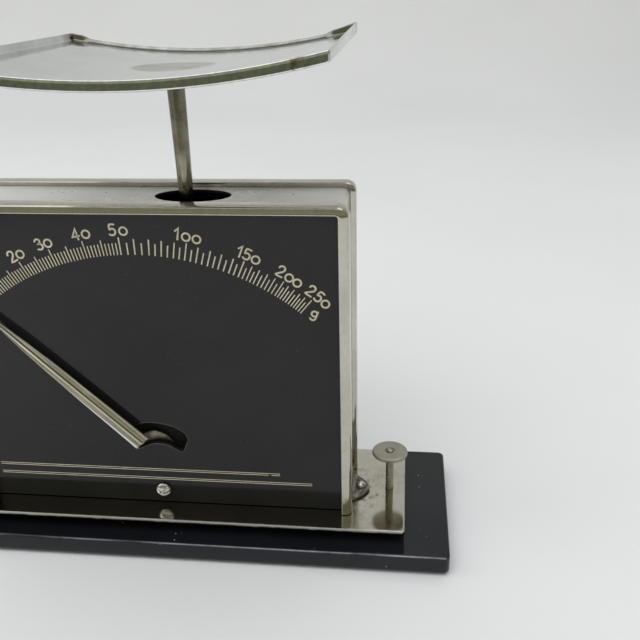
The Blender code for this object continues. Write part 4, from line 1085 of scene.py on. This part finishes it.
def build_stage():
    """A pale sheet that sweeps up behind the object, with a wall around it that only the camera sees."""
    n = Nodes("pale_sheet")
    cloud = n.ramp(n.noise(3.0, 4), 0.3, 0.7)
    finish = n.finish(n.mix(cloud, (0.72, 0.725, 0.73), (0.68, 0.685, 0.69)), 0.9,
                      n.bump(n.noise(900, 3), 0.10, 0.0005))
    sweep = arc((0.9, 0.5), 0.5, -90, 0, 12)
    scenery("pale_sheet", strip([(TABLE_EDGE, 0.0)] + sweep + [(1.4, 2.0)]), finish)
    scenery("front_floor", strip([(-2.4, 0.0), (TABLE_EDGE, 0.0)]), finish).visible_glossy = False
    bm = lathe([(WALL_RADIUS, 0.0), (WALL_RADIUS, WALL_HEIGHT)], (0.0, 0.0, 0.0), segments=96)
    bmesh.ops.delete(bm, geom=[face for face in bm.faces if len(face.verts) > 4], context="FACES_ONLY")
    wall = scenery("pale_wall", bm, finish)
    wall.visible_glossy = wall.visible_diffuse = wall.visible_shadow = False


def area(name, place, target, size, power, colour, mirrored=True):
    light = bpy.data.lights.new(name, "AREA")
    light.shape = "RECTANGLE"
    light.size, light.size_y = size
    light.energy = power
    light.color = colour
    made = placed(name, light)
    made.visible_camera = False
    made.visible_glossy = mirrored
    made.location = place
    made.rotation_euler = (Vector(target) - Vector(place)).to_track_quat("-Z", "Y").to_euler()


def build_light():
    """A broad soft ceiling light, a weak fill from the left, and a dim room in front."""
    area("ceiling", (-0.3, 0.55, 2.1), (-0.3, 0.55, 0.0), (3.6, 2.6), 22.5, (0.955, 0.955, 1.0))
    area("front_fill", (-0.15, -0.95, 1.5), (0.0, -0.3, 0.0), (1.8, 1.2), 18, (0.955, 0.955, 1.0), False)
    area("left_window", (-1.5, -0.3, 1.1), (0.0, 0.0, 0.08), (0.9, 1.0), 5, (1.0, 1.0, 0.98))
    world = bpy.data.worlds.new("room")
    bpy.context.scene.world = world
    world.use_nodes = True
    tree = world.node_tree
    tree.nodes.clear()
    link = tree.links.new
    place, split, height, ramp, back, out = (
        tree.nodes.new(f"ShaderNode{kind}")
        for kind in ("TexCoord", "SeparateXYZ", "MapRange", "ValToRGB", "Background", "OutputWorld"))
    link(place.outputs["Generated"], split.inputs[0])
    height.inputs["From Min"].default_value = -0.10
    height.inputs["From Max"].default_value = 0.90
    link(split.outputs["Z"], height.inputs["Value"])
    ramp.color_ramp.elements[0].color = (0.125, 0.137, 0.085, 1)
    ramp.color_ramp.elements[1].color = (0.80, 0.82, 0.84, 1)
    for share, shade in ((0.10, (0.18, 0.19, 0.12, 1)), (0.20, (0.36, 0.365, 0.26, 1)),
                         (0.72, (0.30, 0.30, 0.215, 1)), (0.88, (0.55, 0.56, 0.53, 1))):
        ramp.color_ramp.elements.new(share).color = shade
    link(height.outputs["Result"], ramp.inputs["Fac"])
    back.inputs["Strength"].default_value = 0.85
    link(ramp.outputs["Color"], back.inputs["Color"])
    link(back.outputs[0], out.inputs["Surface"])


CAMERA_PLACE = (0.08627, -0.23938, 0.19487)
CAMERA_PITCH = 24.691              # degrees down
CAMERA_YAW = 6.684                 # degrees towards -X
CAMERA_ROLL = -1.481
CAMERA_LENS = 43.12                # millimetres on a 36 mm sensor


def build_camera():
    pitch, yaw, roll = (radians(a) for a in (CAMERA_PITCH, CAMERA_YAW, CAMERA_ROLL))
    forward = Vector((-sin(yaw) * cos(pitch), cos(yaw) * cos(pitch), -sin(pitch)))
    level = Vector((cos(yaw), sin(yaw), 0.0))
    upright = level.cross(forward)
    right = level * cos(roll) + upright * sin(roll)
    up = upright * cos(roll) - level * sin(roll)
    data = bpy.data.cameras.new("camera")
    data.lens = CAMERA_LENS
    data.sensor_width = 36.0
    data.clip_start = 0.01
    made = placed("camera", data)
    turn = Matrix((right, up, -forward)).transposed()
    made.matrix_world = Matrix.Translation(CAMERA_PLACE) @ turn.to_4x4()
    bpy.context.scene.camera = made


for build in (build_base, build_case, build_screws, build_print, build_slot_edge, build_hub, build_pan,
              build_stem, build_hand, build_knob, build_stage, build_light, build_camera):
    build()
view = bpy.context.scene.view_settings
view.view_transform = "Standard"
